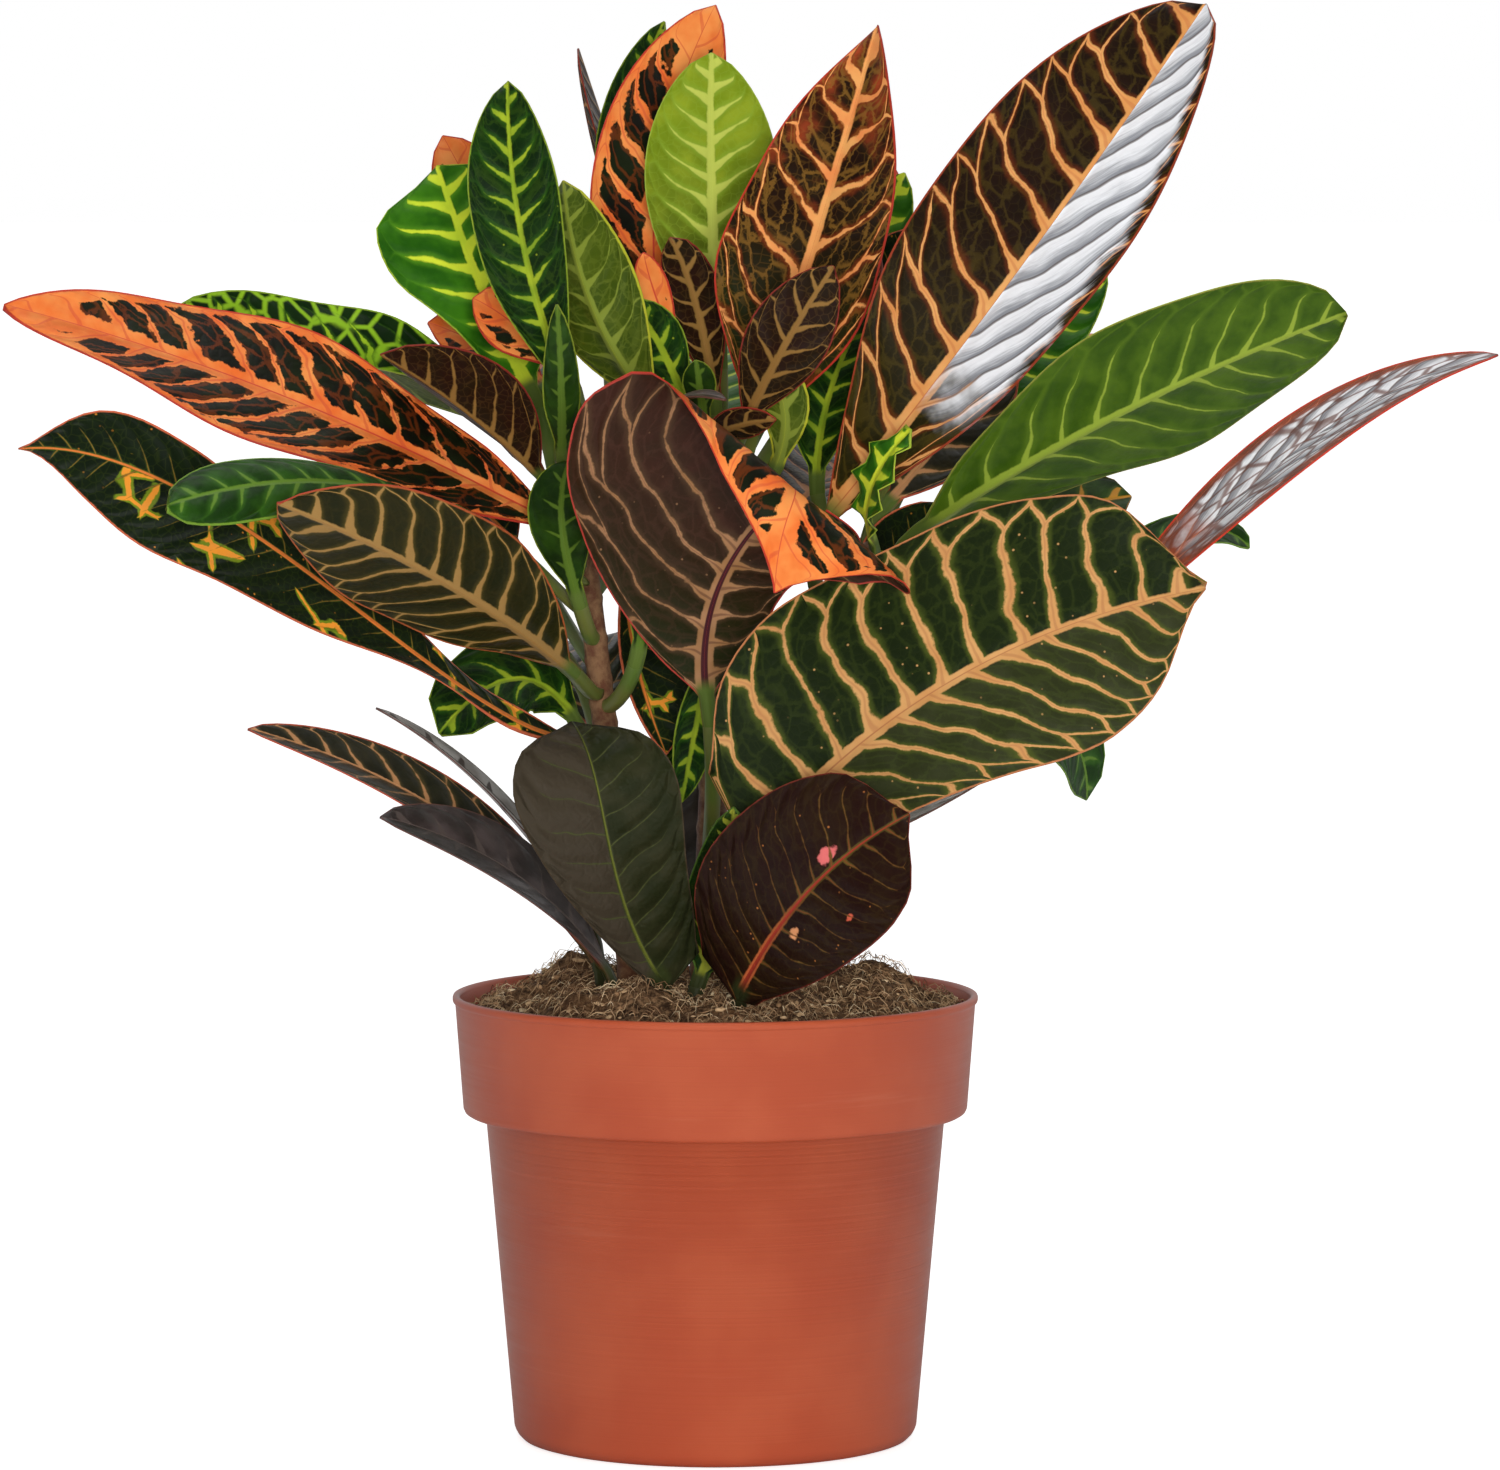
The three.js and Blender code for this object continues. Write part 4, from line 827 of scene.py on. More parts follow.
class Finish:
    """One procedural material, or the studio's surroundings."""

    def __init__(self, name, owner=None, shader="Principled BSDF"):
        self.material = owner or bpy.data.materials.new(name)
        self.material.use_nodes = True
        self.tree = self.material.node_tree
        self.shader = self.tree.nodes[shader]

    def feed(self, socket, value):
        """Links an amount to the socket, or sets its number or its colour."""
        if isinstance(value, Amount):
            self.tree.links.new(value.socket, socket)
        elif isinstance(value, tuple):
            socket.default_value = tint(*value)
        else:
            socket.default_value = value

    def add(self, kind, settings=None, values=None, output=0):
        """A node: its settings are set first, then its sockets get their values or links."""
        node = self.tree.nodes.new(kind)
        for name, setting in (settings or {}).items():
            setattr(node, name, setting)
        for key, value in (values or {}).items():
            self.feed(node.inputs[key], value)
        return Amount(self, node.outputs[output])

    def shade(self, **values):
        for name, value in values.items():
            self.feed(self.shader.inputs[name.replace("_", " ")], value)

    def object_place(self):
        return self.add("ShaderNodeTexCoord", output="Object")

    def above_soil(self):
        return self.parts(self.object_place())[2].ramp(*SOIL_FADE)

    def uv(self, name):
        return self.add("ShaderNodeUVMap", {"uv_map": name})

    def attribute(self, name):
        return self.add("ShaderNodeAttribute", {"attribute_name": name}, output="Fac")

    def parts(self, vector):
        node = self.add("ShaderNodeSeparateXYZ", None, {0: vector}).socket.node
        return tuple(Amount(self, node.outputs[i]) for i in range(3))

    def join(self, x, y, z):
        return self.add("ShaderNodeCombineXYZ", None, {0: x, 1: y, 2: z})

    def clouds(self, place, scale, detail=2.0, roughness=0.5):
        """Soft noise, about 0 to 1."""
        values = {"Vector": place, "Scale": scale, "Detail": detail, "Roughness": roughness}
        return self.add("ShaderNodeTexNoise", None, values)

    def cells(self, place, scale=1.0, feature="DISTANCE_TO_EDGE"):
        """Distance from the nearest border between scattered cells, or with F1 from a cell's point."""
        return self.add("ShaderNodeTexVoronoi", {"feature": feature}, {"Vector": place, "Scale": scale})

    def draw(self, value):
        """A number from 0 to 1 drawn for each whole value."""
        return self.add("ShaderNodeTexWhiteNoise", {"noise_dimensions": "1D"}, {"W": value})

    def blend(self, factor, first, second):
        """The first colour turned into the second."""
        return self.add("ShaderNodeMix", {"data_type": "RGBA"}, {0: factor, 6: first, 7: second}, 2)

    def bump(self, height, distance, strength=1.0):
        values = {"Height": height, "Distance": distance, "Strength": strength}
        return self.add("ShaderNodeBump", None, values)


# What a side of a leaf looks like where its own look doesn't say otherwise, in mm over the blade.
LEAF_LOOK = dict(
    vein_shade=None,
    core=None,
    halo=None,
    margin=None,
    foot=None,  # ground colour near the stalk, and how far along it reaches
    foot_to=0.6,
    flush=None,  # ground colour towards the tip, and where along it begins
    flush_from=0.6,
    rib=1.0,  # half width of the midrib at the base
    rib_core=0.3,
    rib_base=None,  # the midrib's colour near the stalk
    lateral=0.3,  # half width of a side vein near the midrib
    taper=0.6,
    flare=0.8,  # how much wider a side vein is where it leaves the midrib
    spacing=11.0,
    lean=0.5,  # how far the side veins run towards the tip on the way out
    lean_left=None,  # the same on the left half
    curl=0.003,
    fork=0.8,  # where across the blade the side veins part and meet their neighbours
    bow=0.5,  # how far, in spacings, they swing towards the tip near the margin
    short=None,  # where across the blade they begin to fade out
    rag=0.4,
    edge=0.3,  # width of the margin's line
    halo_wide=0.7,
    net=0.04,  # strength of the finest veins
    net_cell=2.5,
    net_wide=0.08,
    net_colour=None,
    twigs=0.0,  # strength of small veins between the side veins
    tip=0.0,  # how far the vein colour takes over at the tip
    base=0.0,  # how far the ground takes over at the base
    blotch=0.0,  # how much of the blade has branching blotches
    blotch_colour=None,
    speck=0.0,  # strength of small flecks
    marks=(),  # single spots: place across and along, radius and colour
    left_tone=None,  # ground colour of the left half
    # The painted sheen: a silvery reflection of bright light painted into the colour, its strength on the
    # right half, on the left half, and how far out towards the margin it reaches.
    bloom=0.0,  # silvery sheen on the right half
    bloom_left=0.0,
    bloom_out=0.84,
    shine=0.16,
    wander=0.15,  # how much the side veins bend to and fro
    band=0.0,  # width of the vein-coloured band inside the margin
    flank=0.0,  # the same along the midrib
    patchy=0.0,  # how unevenly wide the vein colour is
    relief=0.45,
    raised=False,  # veins stand out, as on an underside
)


def stroke(half, distance, soft=0.5):
    """1 within half of a line's middle and 0 beyond, with soft sides."""
    return ((half - distance) / soft + 0.5).ramp(0.0, 1.0)


def blade_grid(f, look):
    """What the patterns are drawn with: places in mm, shares of the blade, and soft noise."""
    at = SimpleNamespace()
    at.x, at.y, _ = f.parts(f.uv("flat"))
    at.across, at.along, _ = f.parts(f.uv("share"))
    at.chance = f.attribute("chance")
    at.off, at.out, at.right = abs(at.x), abs(at.across), at.x > 0
    at.place = f.join(at.x, at.y, at.chance)
    at.ragged = f.clouds(at.place, 0.5, 3.0, 0.6) - 0.5
    at.tone = f.clouds(at.place, 0.11, 3.0)
    at.fine_gap = f.cells(at.place, 1 / look.net_cell)
    return at


def lay_side_veins(f, look, at):
    """Where the side veins run: how near each point is to one, and how wide it is there."""
    broad = f.clouds(at.place, 0.05, 1.0) - 0.5
    at.bent = (f.clouds(at.place, 0.16, 1.0) - 0.5) * (look.spacing * look.wander)
    sweep = look.lean
    if look.lean_left is not None:
        sweep = at.right * (look.lean - look.lean_left) + look.lean_left
    level = at.y - at.off * sweep - at.off * at.off * look.curl + broad * look.spacing * 0.9
    swing = at.out.ramp(0.5, 1.0)
    at.straight = level / look.spacing + at.right * 0.45 + at.chance - swing * swing * look.bow
    at.station = at.straight + at.bent / look.spacing
    luck = f.draw(at.station.floor())
    split = (at.out + luck * 0.1).ramp(look.fork, 1.06) * (look.spacing * 0.46)
    at.near = abs(abs(at.station.fract() - 0.5) * (look.spacing * 0.85) - split)
    slim = look.lateral * (1 - at.out * look.taper) * (luck * 0.6 + 0.7)
    at.wide = slim + (1 - at.off.ramp(0.0, 7.0)) * look.flare


def vein_gain(f, look, at):
    """How much wider the vein colour is in places: ragged, patchy, at the tip, less at the base."""
    gain = at.ragged * (look.rag * 2)
    if look.patchy:
        gain = gain + (f.clouds(at.place, 0.2, 2.0) - 0.5) * (look.patchy * 2)
    if look.tip:
        gain = gain + at.along.ramp(0.8, 1.0) * look.tip
    if look.base:
        gain = gain + at.along.ramp(0.0, 0.55) * look.base - look.base
    if look.short is not None:
        gain = gain - at.out.ramp(look.short, 1.0) * (look.lateral * 2.2 + 0.4)
    return gain


def ground_colour(f, look, at):
    """The blade between its veins: two tones, and others near the stalk, the tip or the left side."""
    drift = at.tone - 0.5
    colour = f.blend(at.tone.ramp(0.35, 0.7), look.ground, look.shade)
    if look.foot:
        beyond = (at.along + drift * 0.3).ramp(0.1, look.foot_to)
        colour = f.blend(1 - beyond, colour, look.foot)
    if look.flush:
        reached = at.along * 0.8 + at.out * 0.25 + drift * 0.9
        colour = f.blend(reached.ramp(look.flush_from, look.flush_from + 0.35), colour, look.flush)
    if look.left_tone:
        colour = f.blend((at.x / 2.0 + 0.5).ramp(0.0, 1.0), look.left_tone, colour)
    return colour


def add_fine_veins(f, look, at, colour):
    """The net of finest veins, and twigs between the side veins."""
    fine = look.net_colour or look.halo or look.vein
    if look.net:
        mesh = 1 - (at.fine_gap + at.ragged * 0.05).ramp(look.net_wide * 0.2, look.net_wide)
        colour = f.blend(mesh * look.net, colour, fine)
    if look.twigs:
        gap = f.cells(f.join(at.station * 2.1, at.off / 5.5 + at.ragged * 0.7, at.chance))
        colour = f.blend((1 - gap.ramp(0.02, 0.1)) * look.twigs, colour, fine)
    return colour


def add_spots(f, look, at, colour):
    """Single spots, small flecks and branching blotches."""
    for spot_x, spot_y, radius, spot_colour in look.marks:
        away = ((at.x - spot_x) ** 2 + ((at.y - spot_y) * 0.6) ** 2) ** 0.5
        colour = f.blend(((radius - away + at.ragged * 2) / 0.6).ramp(0.0, 1.0), colour, spot_colour)
    if look.speck:
        dots = (1 - f.cells(at.place, 0.3, "F1").ramp(0.05, 0.12)) * at.tone.ramp(0.45, 0.55)
        colour = f.blend(dots * look.speck, colour, look.blotch_colour or look.vein)
    if look.blotch:
        gap = f.cells(f.join(at.x * 0.1, at.y * 0.085, at.chance)) + at.ragged * 0.07
        patches = f.clouds(f.join(at.x, at.y * 0.8, at.chance * 7), 0.07, 1.0)
        patches = patches.ramp(0.6 - look.blotch, 0.68 - look.blotch)
        colour = f.blend((patches - gap * 8).ramp(0.0, 0.3) * 0.75, colour, look.halo)
        colour = f.blend((patches - gap * 15).ramp(0.1, 0.4), colour, look.blotch_colour)
    return colour


def add_main_veins(f, look, at, colour):
    """The side veins in their halo, the midrib with its darker core, and the margin's line."""
    gain = vein_gain(f, look, at)
    from_margin = at.off / at.out.most(0.03) - at.off
    if look.halo and not look.blotch:
        colour = f.blend(stroke(at.wide + look.halo_wide + gain, at.near, 1.6) * 0.7, colour, look.halo)
    laterals = stroke(at.wide + gain, at.near)
    if look.band:
        laterals = laterals.most(stroke(gain + look.band, from_margin))
        laterals = laterals.most(stroke(gain + look.flank, at.off))
    vein_colour = f.blend(at.tone.ramp(0.3, 0.75), look.vein, look.vein_shade or look.vein)
    colour = f.blend(laterals, colour, vein_colour)
    rib_colour = vein_colour
    if look.rib_base:
        rib_colour = f.blend(at.along.ramp(0.0, 0.6), look.rib_base, vein_colour)
    midrib = stroke(look.rib * (1 - at.along * 0.8) + 0.25 + at.ragged * 0.8, at.off)
    colour = f.blend(midrib, colour, rib_colour)
    if look.core:
        thread = stroke(look.rib_core * (1.2 - at.along), at.off, 0.3)
        side_thread = stroke(at.wide * 0.25, at.near, 0.4) * laterals * 0.5
        colour = f.blend(thread.most(side_thread), colour, look.core)
    if look.margin:
        colour = f.blend(stroke(look.edge + at.ragged * 0.5, from_margin, 0.4), colour, look.margin)
    return colour


def add_painted_sheen(f, look, at, colour):
    """A painted sheen: silvery reflected light painted into the colour, with painted shade in its grooves.
    """
    drift = at.tone - 0.5
    step = (at.straight + at.bent * 0.7 / look.spacing + 0.5).fract()
    brushed = f.clouds(f.join(at.straight * 9.0, at.off * 0.16, at.chance), 1.0, 3.0, 0.6) - 0.5
    sheen = f.blend((step + brushed * 0.9).ramp(0.0, 0.8), PAINTED_SHEEN_DARK, PAINTED_SHEEN_PALE)
    # Painted shade in the grooves along the side veins.
    groove = step.ramp(0.9, 0.985) + (1 - step.ramp(0.0, 0.07))
    sheen = f.blend(groove * 0.85, sheen, PAINTED_GROOVE_SHADE)
    if look.bloom_left:
        gap = f.cells(f.join(at.x * 0.3, at.y * 0.07, at.chance)) + at.ragged * 0.04
        sheen = f.blend((1 - gap.ramp(0.02, 0.12)) * 0.8, sheen, CRACK_TONE)
    side = at.right * look.bloom + (1 - at.right) * look.bloom_left
    reach = at.out + drift * 0.35 + brushed * 0.25 - (1 - at.along) * 0.2
    reach = reach.ramp(look.bloom_out - 0.12, look.bloom_out + 0.04)
    shown = side * (1 - reach) * (at.along + drift * 0.2).ramp(0.24, 0.36)
    return f.blend(shown, colour, sheen)


def leaf_relief(look, at):
    """The quilted surface: blade between the side veins, midrib and finest veins."""
    quilt = at.near.ramp(0.0, look.spacing * 0.36) * at.off.ramp(0.0, 4.0)
    height = quilt * 0.9 + at.off.ramp(0.0, look.rib) * 0.5 + at.fine_gap.ramp(0.0, 0.3) * 0.1
    return 1 - height if look.raised else height


def leaf_finish(name, **own):
    """One side of a leaf."""
    look = SimpleNamespace(**{**LEAF_LOOK, **own})
    f = Finish(name)
    at = blade_grid(f, look)
    lay_side_veins(f, look, at)
    colour = ground_colour(f, look, at)
    for layer in (add_fine_veins, add_spots, add_main_veins):
        colour = layer(f, look, at, colour)
    # A painted sheen of bright light, on the leaves that have one.
    if look.bloom or look.bloom_left:
        colour = add_painted_sheen(f, look, at, colour)
    at_stalk = (1 - at.along.ramp(0.01, 0.07)) * (1 - at.off.ramp(1.6, 3.6))
    # The blade's foot takes the stalk's colour, with its painted shade near the soil.
    colour = f.blend(at_stalk, colour, f.blend(f.above_soil(), SHADED_STALK_TONE, STALK_TONE))
    f.shade(
        Base_Color=colour,
        Roughness=at.ragged * 0.12 + LEAF_GLOSS,
        Specular_IOR_Level=look.shine,
        Normal=f.bump(leaf_relief(look, at), QUILT_DEPTH, look.relief),
    )
    return f.material


# ---- The looks of this plant ----------------------------------------------------------------


def leaf_finishes():
    """The two sides of every kind of leaf on this plant, from the orange ones to the wine-red."""
    looks = {
        "ember": dict(ground=(16, 16, 10), shade=(24, 32, 13), vein=(236, 112, 48),
            vein_shade=(246, 154, 80), core=(212, 72, 52), margin=(196, 62, 46), rib=2.6, rib_core=0.35,
            lateral=1.25, taper=0.1, spacing=11.5, lean=0.7, lean_left=1.0, curl=0.002, fork=0.94, rag=1.4,
            edge=0.5, net=0.0, net_colour=(190, 84, 30), twigs=0.2, tip=3.2, base=1.5, wander=0.3, band=2.6,
            flank=3.2, patchy=1.9),
        "flame": dict(ground=(30, 13, 6), shade=(38, 27, 10), vein=(236, 170, 98),
            vein_shade=(230, 138, 76), halo=(124, 50, 20), margin=(184, 56, 40), foot=(35, 43, 13),
            flush=(168, 68, 34), flush_from=0.74, rib=2.2, lateral=0.75, taper=0.35, flare=1.0, spacing=14,
            lean=0.75, rag=0.9, edge=0.5, halo_wide=0.9, net=0.16, net_cell=2.6, net_colour=(140, 100, 40),
            twigs=0.6, tip=0.8, wander=0.3, patchy=0.7),
        # The right half carries a painted sheen: the silvery reflection of bright light, painted into its
        # colour.
        "copper": dict(ground=(32, 17, 9), shade=(26, 16, 8), vein=(224, 164, 98),
            vein_shade=(212, 142, 76), core=(196, 112, 66), halo=(104, 44, 18), margin=(148, 60, 36),
            foot=(37, 34, 11), rib=2.3, rib_core=0.2, lateral=0.8, taper=0.4, flare=1.0, spacing=13,
            lean=1.7, lean_left=0.45, fork=0.72, rag=0.5, edge=0.5, halo_wide=0.8,
            net_colour=(124, 104, 36), twigs=0.14, bloom=1.0, wander=0.2),
        # Both halves carry a painted sheen of bright light, with the leaf's own brown in its cracks and its
        # orange-red band at the margin.
        "copper_sheen": dict(ground=(158, 74, 44), shade=(120, 64, 44), vein=(196, 110, 76),
            margin=(206, 60, 36), rib=0.7, spacing=15, lean=2.6, rag=0.8, edge=0.6, net=0.1, bloom=1.0,
            bloom_left=0.95, bloom_out=0.7, wander=0.5),
        "dark_copper": dict(ground=(29, 14, 9), shade=(34, 26, 10), vein=(196, 132, 70),
            vein_shade=(170, 98, 48), halo=(82, 42, 18), margin=(136, 48, 32), lateral=0.38, taper=0.3,
            spacing=7.5, lean=0.7, rag=0.5, edge=0.35, net=0.25, net_cell=2.2, net_colour=(118, 98, 42),
            twigs=0.25, wander=0.3),
        # Its ground and shade are the right half's greyer colour: the leaf's own grey-green, lightened
        # there by a painted sheen of light. Its left_tone is the left half's own dark green.
        "peachy": dict(ground=(44, 49, 24), shade=(54, 58, 34), vein=(212, 160, 100),
            vein_shade=(200, 142, 84), core=(176, 112, 72), halo=(84, 94, 34), margin=(188, 120, 76),
            rib=1.9, rib_core=0.2, lateral=0.75, taper=0.3, flare=0.9, lean=1.0, lean_left=0.08, curl=0.001,
            fork=0.84, bow=0.4, rag=0.6, edge=0.45, net=0.02, net_colour=(110, 128, 48), twigs=0.06,
            speck=0.8, left_tone=(25, 35, 13), wander=0.18),
        "blotched": dict(ground=(16, 26, 13), shade=(22, 34, 14), vein=(58, 82, 30), core=(222, 124, 54),
            halo=(126, 148, 34), margin=(206, 104, 70), rib=0.8, rib_core=0.8, lateral=0.1, taper=0.3,
            flare=0.2, spacing=7, lean=0.8, short=0.4, edge=0.5, blotch=0.06, blotch_colour=(236, 150, 50),
            speck=0.6),
        "bright": dict(ground=(34, 86, 12), shade=(58, 116, 18), vein=(214, 226, 58),
            vein_shade=(190, 214, 52), halo=(84, 142, 28), margin=(170, 192, 62), rib=1.7, lateral=0.6,
            taper=0.5, spacing=8.5, lean=0.45, fork=0.9, short=0.6, halo_wide=0.9, net=0.0),
        "yolk": dict(ground=(13, 35, 10), shade=(21, 50, 12), vein=(164, 182, 44),
            vein_shade=(120, 150, 36), halo=(46, 90, 20), margin=(136, 158, 46), lateral=0.32, flare=0.5,
            spacing=8, lean=0.65, short=0.48, rag=0.6, net=0.05, net_colour=(90, 130, 30), twigs=0.12,
            speck=0.7),
        "netted": dict(ground=(13, 37, 8), shade=(21, 48, 10), vein=(176, 206, 42),
            vein_shade=(146, 190, 36), halo=(66, 112, 20), margin=(140, 170, 50), rib=1.2, lateral=0.6,
            taper=0.1, short=0.5, rag=0.9, edge=0.4, net=1.0, net_cell=6.5, net_wide=0.15,
            net_colour=(150, 196, 40), wander=0.6, patchy=0.6),
        "shade": dict(ground=(21, 42, 10), shade=(40, 70, 16), vein=(84, 112, 36), margin=(126, 140, 44),
            rib=0.9, lateral=0.2, flare=0.3, spacing=8, lean=0.6, short=0.3, rag=0.3, net=0.03),
        "fern": dict(ground=(22, 50, 11), shade=(42, 82, 19), vein=(96, 130, 46), halo=(56, 98, 28),
            margin=(112, 146, 48), rib=0.9, lateral=0.25, flare=0.3, spacing=8, lean=0.6, short=0.4,
            rag=0.3, edge=0.35),
        "mossy": dict(ground=(26, 46, 11), shade=(48, 76, 18), vein=(204, 142, 46), halo=(76, 98, 24),
            margin=(150, 110, 44), rib=1.2, lateral=0.35, short=0.5, edge=0.35, net=0.06),
        "ribbed": dict(ground=(36, 40, 20), shade=(50, 50, 30), vein=(60, 64, 40), core=(108, 114, 46),
            margin=(70, 58, 42), rib=0.5, rib_core=0.4, lateral=0.12, taper=0.1, flare=0.1, spacing=8,
            fork=0.9, short=0.6, rag=0.3, net=0.03, left_tone=(66, 58, 46), relief=0.8),
        "wine": dict(ground=(34, 14, 10), shade=(40, 23, 13), vein=(78, 62, 28), vein_shade=(100, 84, 36),
            core=(160, 56, 40), margin=(112, 44, 34), rib_core=0.5, rib_base=(206, 104, 60), lateral=0.1,
            taper=0.3, flare=0.4, spacing=7, lean=0.45, short=0.7, net=0.03, net_colour=(88, 74, 30),
            twigs=0.08, blotch_colour=(196, 120, 60), speck=0.8, marks=((-3.5, 55, 2.1, (226, 112, 110)),
            (13.5, 51, 0.9, (214, 96, 70)), (4.5, 32, 1.5, (236, 160, 110))), wander=0.2),
        "striped": dict(ground=(16, 37, 10), shade=(24, 48, 13), vein=(136, 140, 44), margin=(70, 96, 34),
            rib=0.8, taper=0.2, spacing=6, lean=1.0, short=0.5, edge=0.35),
        "cinnabar": dict(ground=(30, 30, 18), shade=(45, 42, 27), vein=(200, 144, 96), halo=(92, 78, 42),
            margin=(190, 84, 56), rib=0.9, lateral=0.4, flare=0.5, spacing=10, lean=0.8, rag=0.6, edge=0.5,
            net=0.05, shine=0.6),
        "dusk": dict(ground=(46, 38, 37), shade=(84, 73, 72), vein=(88, 76, 72), margin=(104, 66, 56),
            rib=0.5, lateral=0.18, short=0.5, net=0.03, shine=0.8),
        # Its grey-white ground is a painted sheen, the reflection of bright light on a dark leaf; its veins
        # and reddish margin are the leaf's own.
        "ash": dict(ground=(160, 154, 150), shade=(204, 200, 198), vein=(90, 80, 76), margin=(120, 88, 80),
            rib=0.7, short=0.5, rag=0.3, edge=0.35, net=0.03),
        "moss_back": dict(ground=(50, 78, 12), shade=(72, 100, 19), vein=(142, 162, 56), halo=(80, 108, 24),
            margin=(136, 132, 58), rib=1.5, taper=0.3, flare=0.6, lean=0.75, fork=0.88, short=0.55, rag=0.3,
            halo_wide=1.2, raised=True),
        # A yellow-green underside: its own colour painted lighter, as painted light for the glow of light
        # shining through it from behind.
        "lime_back": dict(ground=(122, 146, 24), shade=(146, 164, 38), vein=(192, 202, 88),
            halo=(134, 162, 46), margin=(160, 180, 70), foot=(80, 94, 24), foot_to=0.8, rib=1.5,
            lateral=0.35, spacing=7, lean=0.6, fork=0.88, short=0.6, rag=0.3, halo_wide=0.9, net=0.25,
            net_cell=2.4, net_colour=(142, 168, 54), raised=True),
        "olive_back": dict(ground=(60, 78, 16), shade=(76, 92, 21), vein=(128, 142, 52),
            margin=(180, 180, 50), rib=1.2, spacing=9, lean=0.7, rag=0.35, edge=0.6, net=0.12, net_cell=3.0,
            twigs=0.2, raised=True),
        "umber_back": dict(ground=(37, 35, 11), shade=(30, 32, 11), vein=(158, 122, 68), halo=(74, 64, 24),
            margin=(166, 84, 44), rib=1.4, lateral=0.55, taper=0.35, spacing=9.5, lean=0.62, edge=0.45,
            twigs=0.1, raised=True),
        "wine_back": dict(ground=(38, 19, 12), shade=(34, 24, 11), vein=(142, 106, 54),
            margin=(132, 46, 36), lateral=0.32, flare=0.4, spacing=7, lean=0.7, edge=0.35, net=0.25,
            net_cell=2.2, net_colour=(100, 74, 36), wander=0.3, raised=True),
        "plum_back": dict(ground=(60, 30, 22), shade=(50, 32, 20), vein=(176, 130, 92),
            vein_shade=(156, 112, 70), core=(70, 30, 36), halo=(80, 58, 40), margin=(176, 64, 54),
            foot=(34, 37, 14), foot_to=0.7, rib=2.4, rib_core=0.8, lateral=0.42, taper=0.5, flare=1.5,
            spacing=9.5, lean=0.3, fork=0.78, rag=0.5, edge=0.5, halo_wide=0.8, net=0.06,
            net_colour=(96, 62, 50), twigs=0.14, speck=0.5, wander=0.26, raised=True),
    }
    return {name: leaf_finish(name, **look) for name, look in looks.items()}


def stalk_finish():
    """The glossy green of the stalks, with painted shade darkening them near the soil."""
    f = Finish("stalk")
    mottle = f.clouds(f.object_place(), 60)
    colour = f.blend(mottle.ramp(0.3, 0.7), (88, 112, 46), (110, 112, 54))
    f.shade(Base_Color=f.blend(f.above_soil(), SHADED_STALK_TONE, colour), Roughness=0.38)
    return f.material


def bark_finish():
    """Reddish-brown bark with pale grains."""
    f = Finish("bark")
    grain = f.clouds(f.object_place(), 240, 4.0, 0.7)
    colour = f.blend(grain.ramp(0.35, 0.65), (96, 58, 40), (134, 100, 70))
    f.shade(Base_Color=colour, Roughness=0.62, Normal=f.bump(grain, 0.0006))
    return f.material


def earth_finish():
    """Dark, dry peat with lighter crumbs."""
    f = Finish("earth")
    place = f.object_place()
    fine = f.clouds(place, 520, 6.0, 0.75)
    coarse = f.clouds(place, 90, 4.0, 0.6)
    colour = f.blend(fine.ramp(0.38, 0.66), (66, 46, 31), (178, 138, 100))
    colour = f.blend(coarse.ramp(0.5, 0.7) * 0.6, colour, (126, 90, 58))
    f.shade(Base_Color=colour, Roughness=0.95, Normal=f.bump(fine + coarse, 0.0016))
    return f.material


def fibre_finish():
    """Coir and bark: dark brown, grey-brown and tan, drawn for each fibre."""
    f = Finish("fibre")
    draw = f.attribute("chance")
    colour = f.blend(draw.ramp(0.0, 0.4), (92, 64, 44), (178, 138, 100))
    colour = f.blend(draw.ramp(0.35, 0.75), colour, (224, 188, 144))
    colour = f.blend(draw.ramp(0.84, 0.96), colour, (240, 216, 176))
    f.shade(Base_Color=colour, Roughness=0.85)
    return f.material


def pot_finish():
    """Terracotta-coloured plastic, satin, with fine scuffs round it."""
    f = Finish("pot")
    place = f.object_place()
    x, y, z = f.parts(place)
    rings = f.clouds(f.join(x * 3.0, y * 3.0, z * 900.0), 1.0, 4.0, 0.7)
    scuffs = f.clouds(f.join(x * 14.0, y * 14.0, z * 260.0), 1.0, 3.0, 0.6)
    mottle = f.clouds(place, 34, 3.0)
    colour = f.blend(mottle.ramp(0.35, 0.7), (181, 78, 46), (189, 87, 53))
    colour = f.blend(scuffs.ramp(0.62, 0.8) * 0.22, colour, (206, 124, 96))
    f.shade(
        Base_Color=colour,
        Roughness=0.26 + rings * 0.12 + scuffs * 0.14,
        Normal=f.bump(rings + mottle * 0.4, 0.00012),
    )
    return f.material


# ---- Studio ---------------------------------------------------------------------------------

ROOM_FRONT, ROOM_BACK, ROOM_TOP = 0.08, 0.7, 0.15
FLOOR_SIZE, FLOOR_TONE, FLOOR_GLOW = 40, (237.4, 237.4, 237.4), 0.75
# Softboxes: place and aim in metres, width and height, and power.
KEY_BOX = ((0.15, -1.95, 0.24), (0, 0, 0.12), (0.9, 0.9), 36)
TOP_BOX = ((-0.1, -0.2, 1.9), (0, 0, 0.2), (1.2, 1.0), 7)
CAMERA_PLACE, CAMERA_DOWN = (0.00925, -2.0, 0.340), 4.346
CAMERA_LENS, CAMERA_SENSOR = 181.03, 36


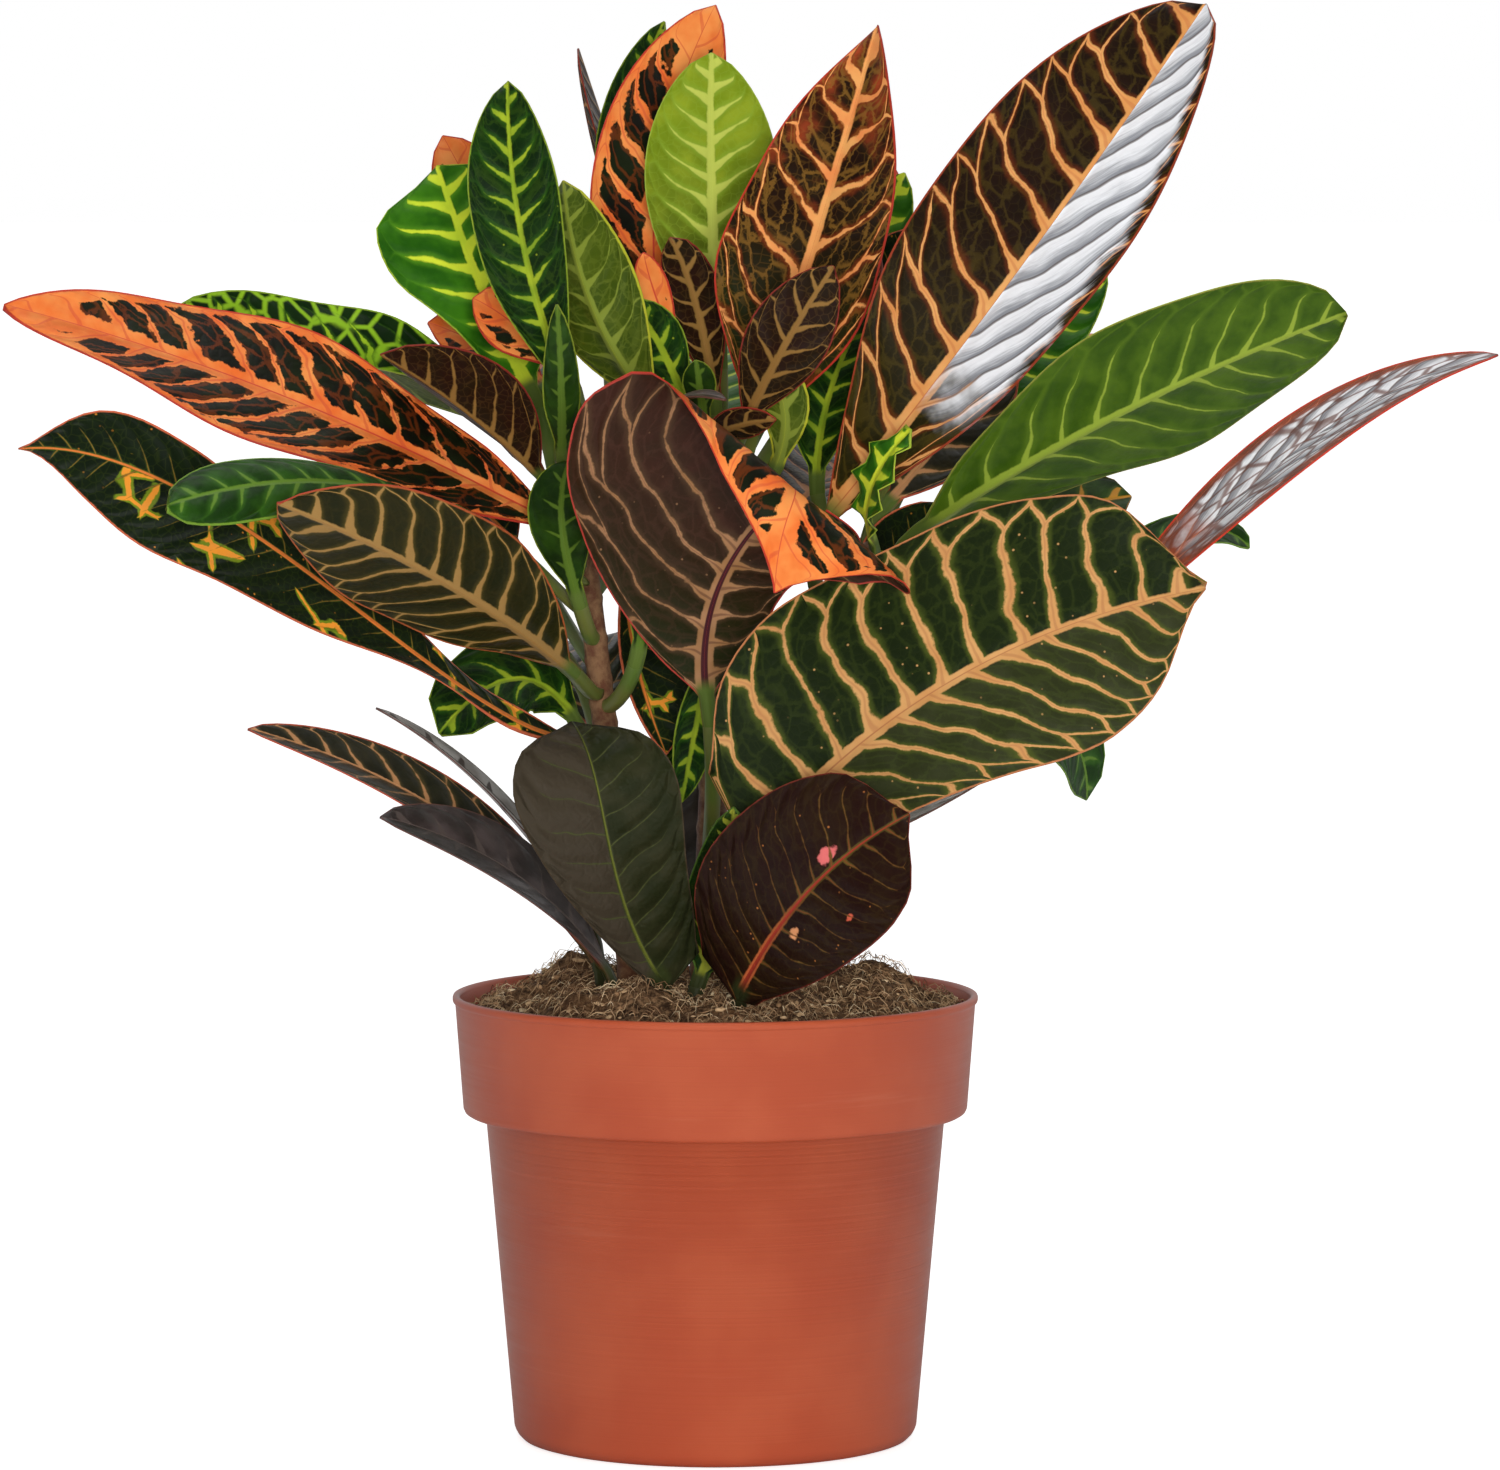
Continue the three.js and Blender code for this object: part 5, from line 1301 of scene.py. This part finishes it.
def set_room():
    """A white room for the camera. As a light it is bright behind and above, and dim in front."""
    room = Finish("studio", bpy.data.worlds.new("studio"), "Background")
    _, depth, height = room.parts(room.add("ShaderNodeTexCoord", output="Generated"))

    def glow(share, low, high, dim, bright):
        values = {"Value": share, "From Min": low, "From Max": high, "To Min": dim, "To Max": bright}
        return room.add("ShaderNodeMapRange", {"clamp": True}, values)

    level = glow(depth, 0.0, 0.6, ROOM_FRONT, ROOM_BACK) + glow(height, 0.1, 0.8, 0.0, ROOM_TOP)
    seen = room.add("ShaderNodeLightPath", output="Is Camera Ray")
    power = room.add("ShaderNodeMix", {"data_type": "FLOAT"}, {0: seen, 2: level, 3: 1.0})
    room.shade(Color=WHITE, Strength=power)
    bpy.context.scene.world = room.material


def set_floor():
    """A wide pale floor, which glows for the camera only."""
    bm = bmesh.new()
    bmesh.ops.create_grid(bm, x_segments=1, y_segments=1, size=FLOOR_SIZE)
    floor = solid("floor", bm)
    f = Finish("floor")
    seen = f.add("ShaderNodeLightPath", output="Is Camera Ray")
    glow = f.blend(seen * FLOOR_GLOW, BLACK, WHITE)
    f.shade(Base_Color=FLOOR_TONE, Roughness=0.7, Emission_Color=glow, Emission_Strength=1.0)
    floor.data.materials.append(f.material)


def set_softbox(name, place, aim, size, power, mirrored):
    light = bpy.data.lights.new(name, "AREA")
    light.shape, light.energy = "RECTANGLE", power
    light.size, light.size_y = size
    made = placed(name, light)
    made.location = place
    made.rotation_euler = (Vector(aim) - Vector(place)).to_track_quat("-Z", "Y").to_euler()
    made.visible_glossy = mirrored


def set_camera():
    camera = placed("camera", bpy.data.cameras.new("camera"))
    camera.location = CAMERA_PLACE
    camera.rotation_euler = (math.radians(90 - CAMERA_DOWN), 0, 0)
    camera.data.lens, camera.data.sensor_width = CAMERA_LENS, CAMERA_SENSOR
    bpy.context.scene.camera = camera


# ---- The whole plant ------------------------------------------------------------------------

FINISHES = leaf_finishes()
FINISHES.update(stalk=stalk_finish(), bark=bark_finish(), earth=earth_finish())
FINISHES.update(fibre=fibre_finish(), pot=pot_finish())

for plant_leaf in LEAVES:
    if not plant_leaf.get("grown"):
        make_leaf(plant_leaf)
for stem_name in STEMS:
    make_stem(stem_name)
make_soil()
# Counts, then least and most length, thickness and rise in mm.
make_fibres("coir", 3400, (2, 8), (0.14, 0.32), (0.2, 3.0))
make_fibres("roots", 90, (7, 14), (0.2, 0.4), (0.5, 2.5))
make_crumbs("crumbs", 700, (0.4, 1.5))
make_pot()
set_room()
set_floor()
set_softbox("key", *KEY_BOX, mirrored=False)
set_softbox("top", *TOP_BOX, mirrored=True)
set_camera()
bpy.context.scene.view_settings.view_transform = "Standard"
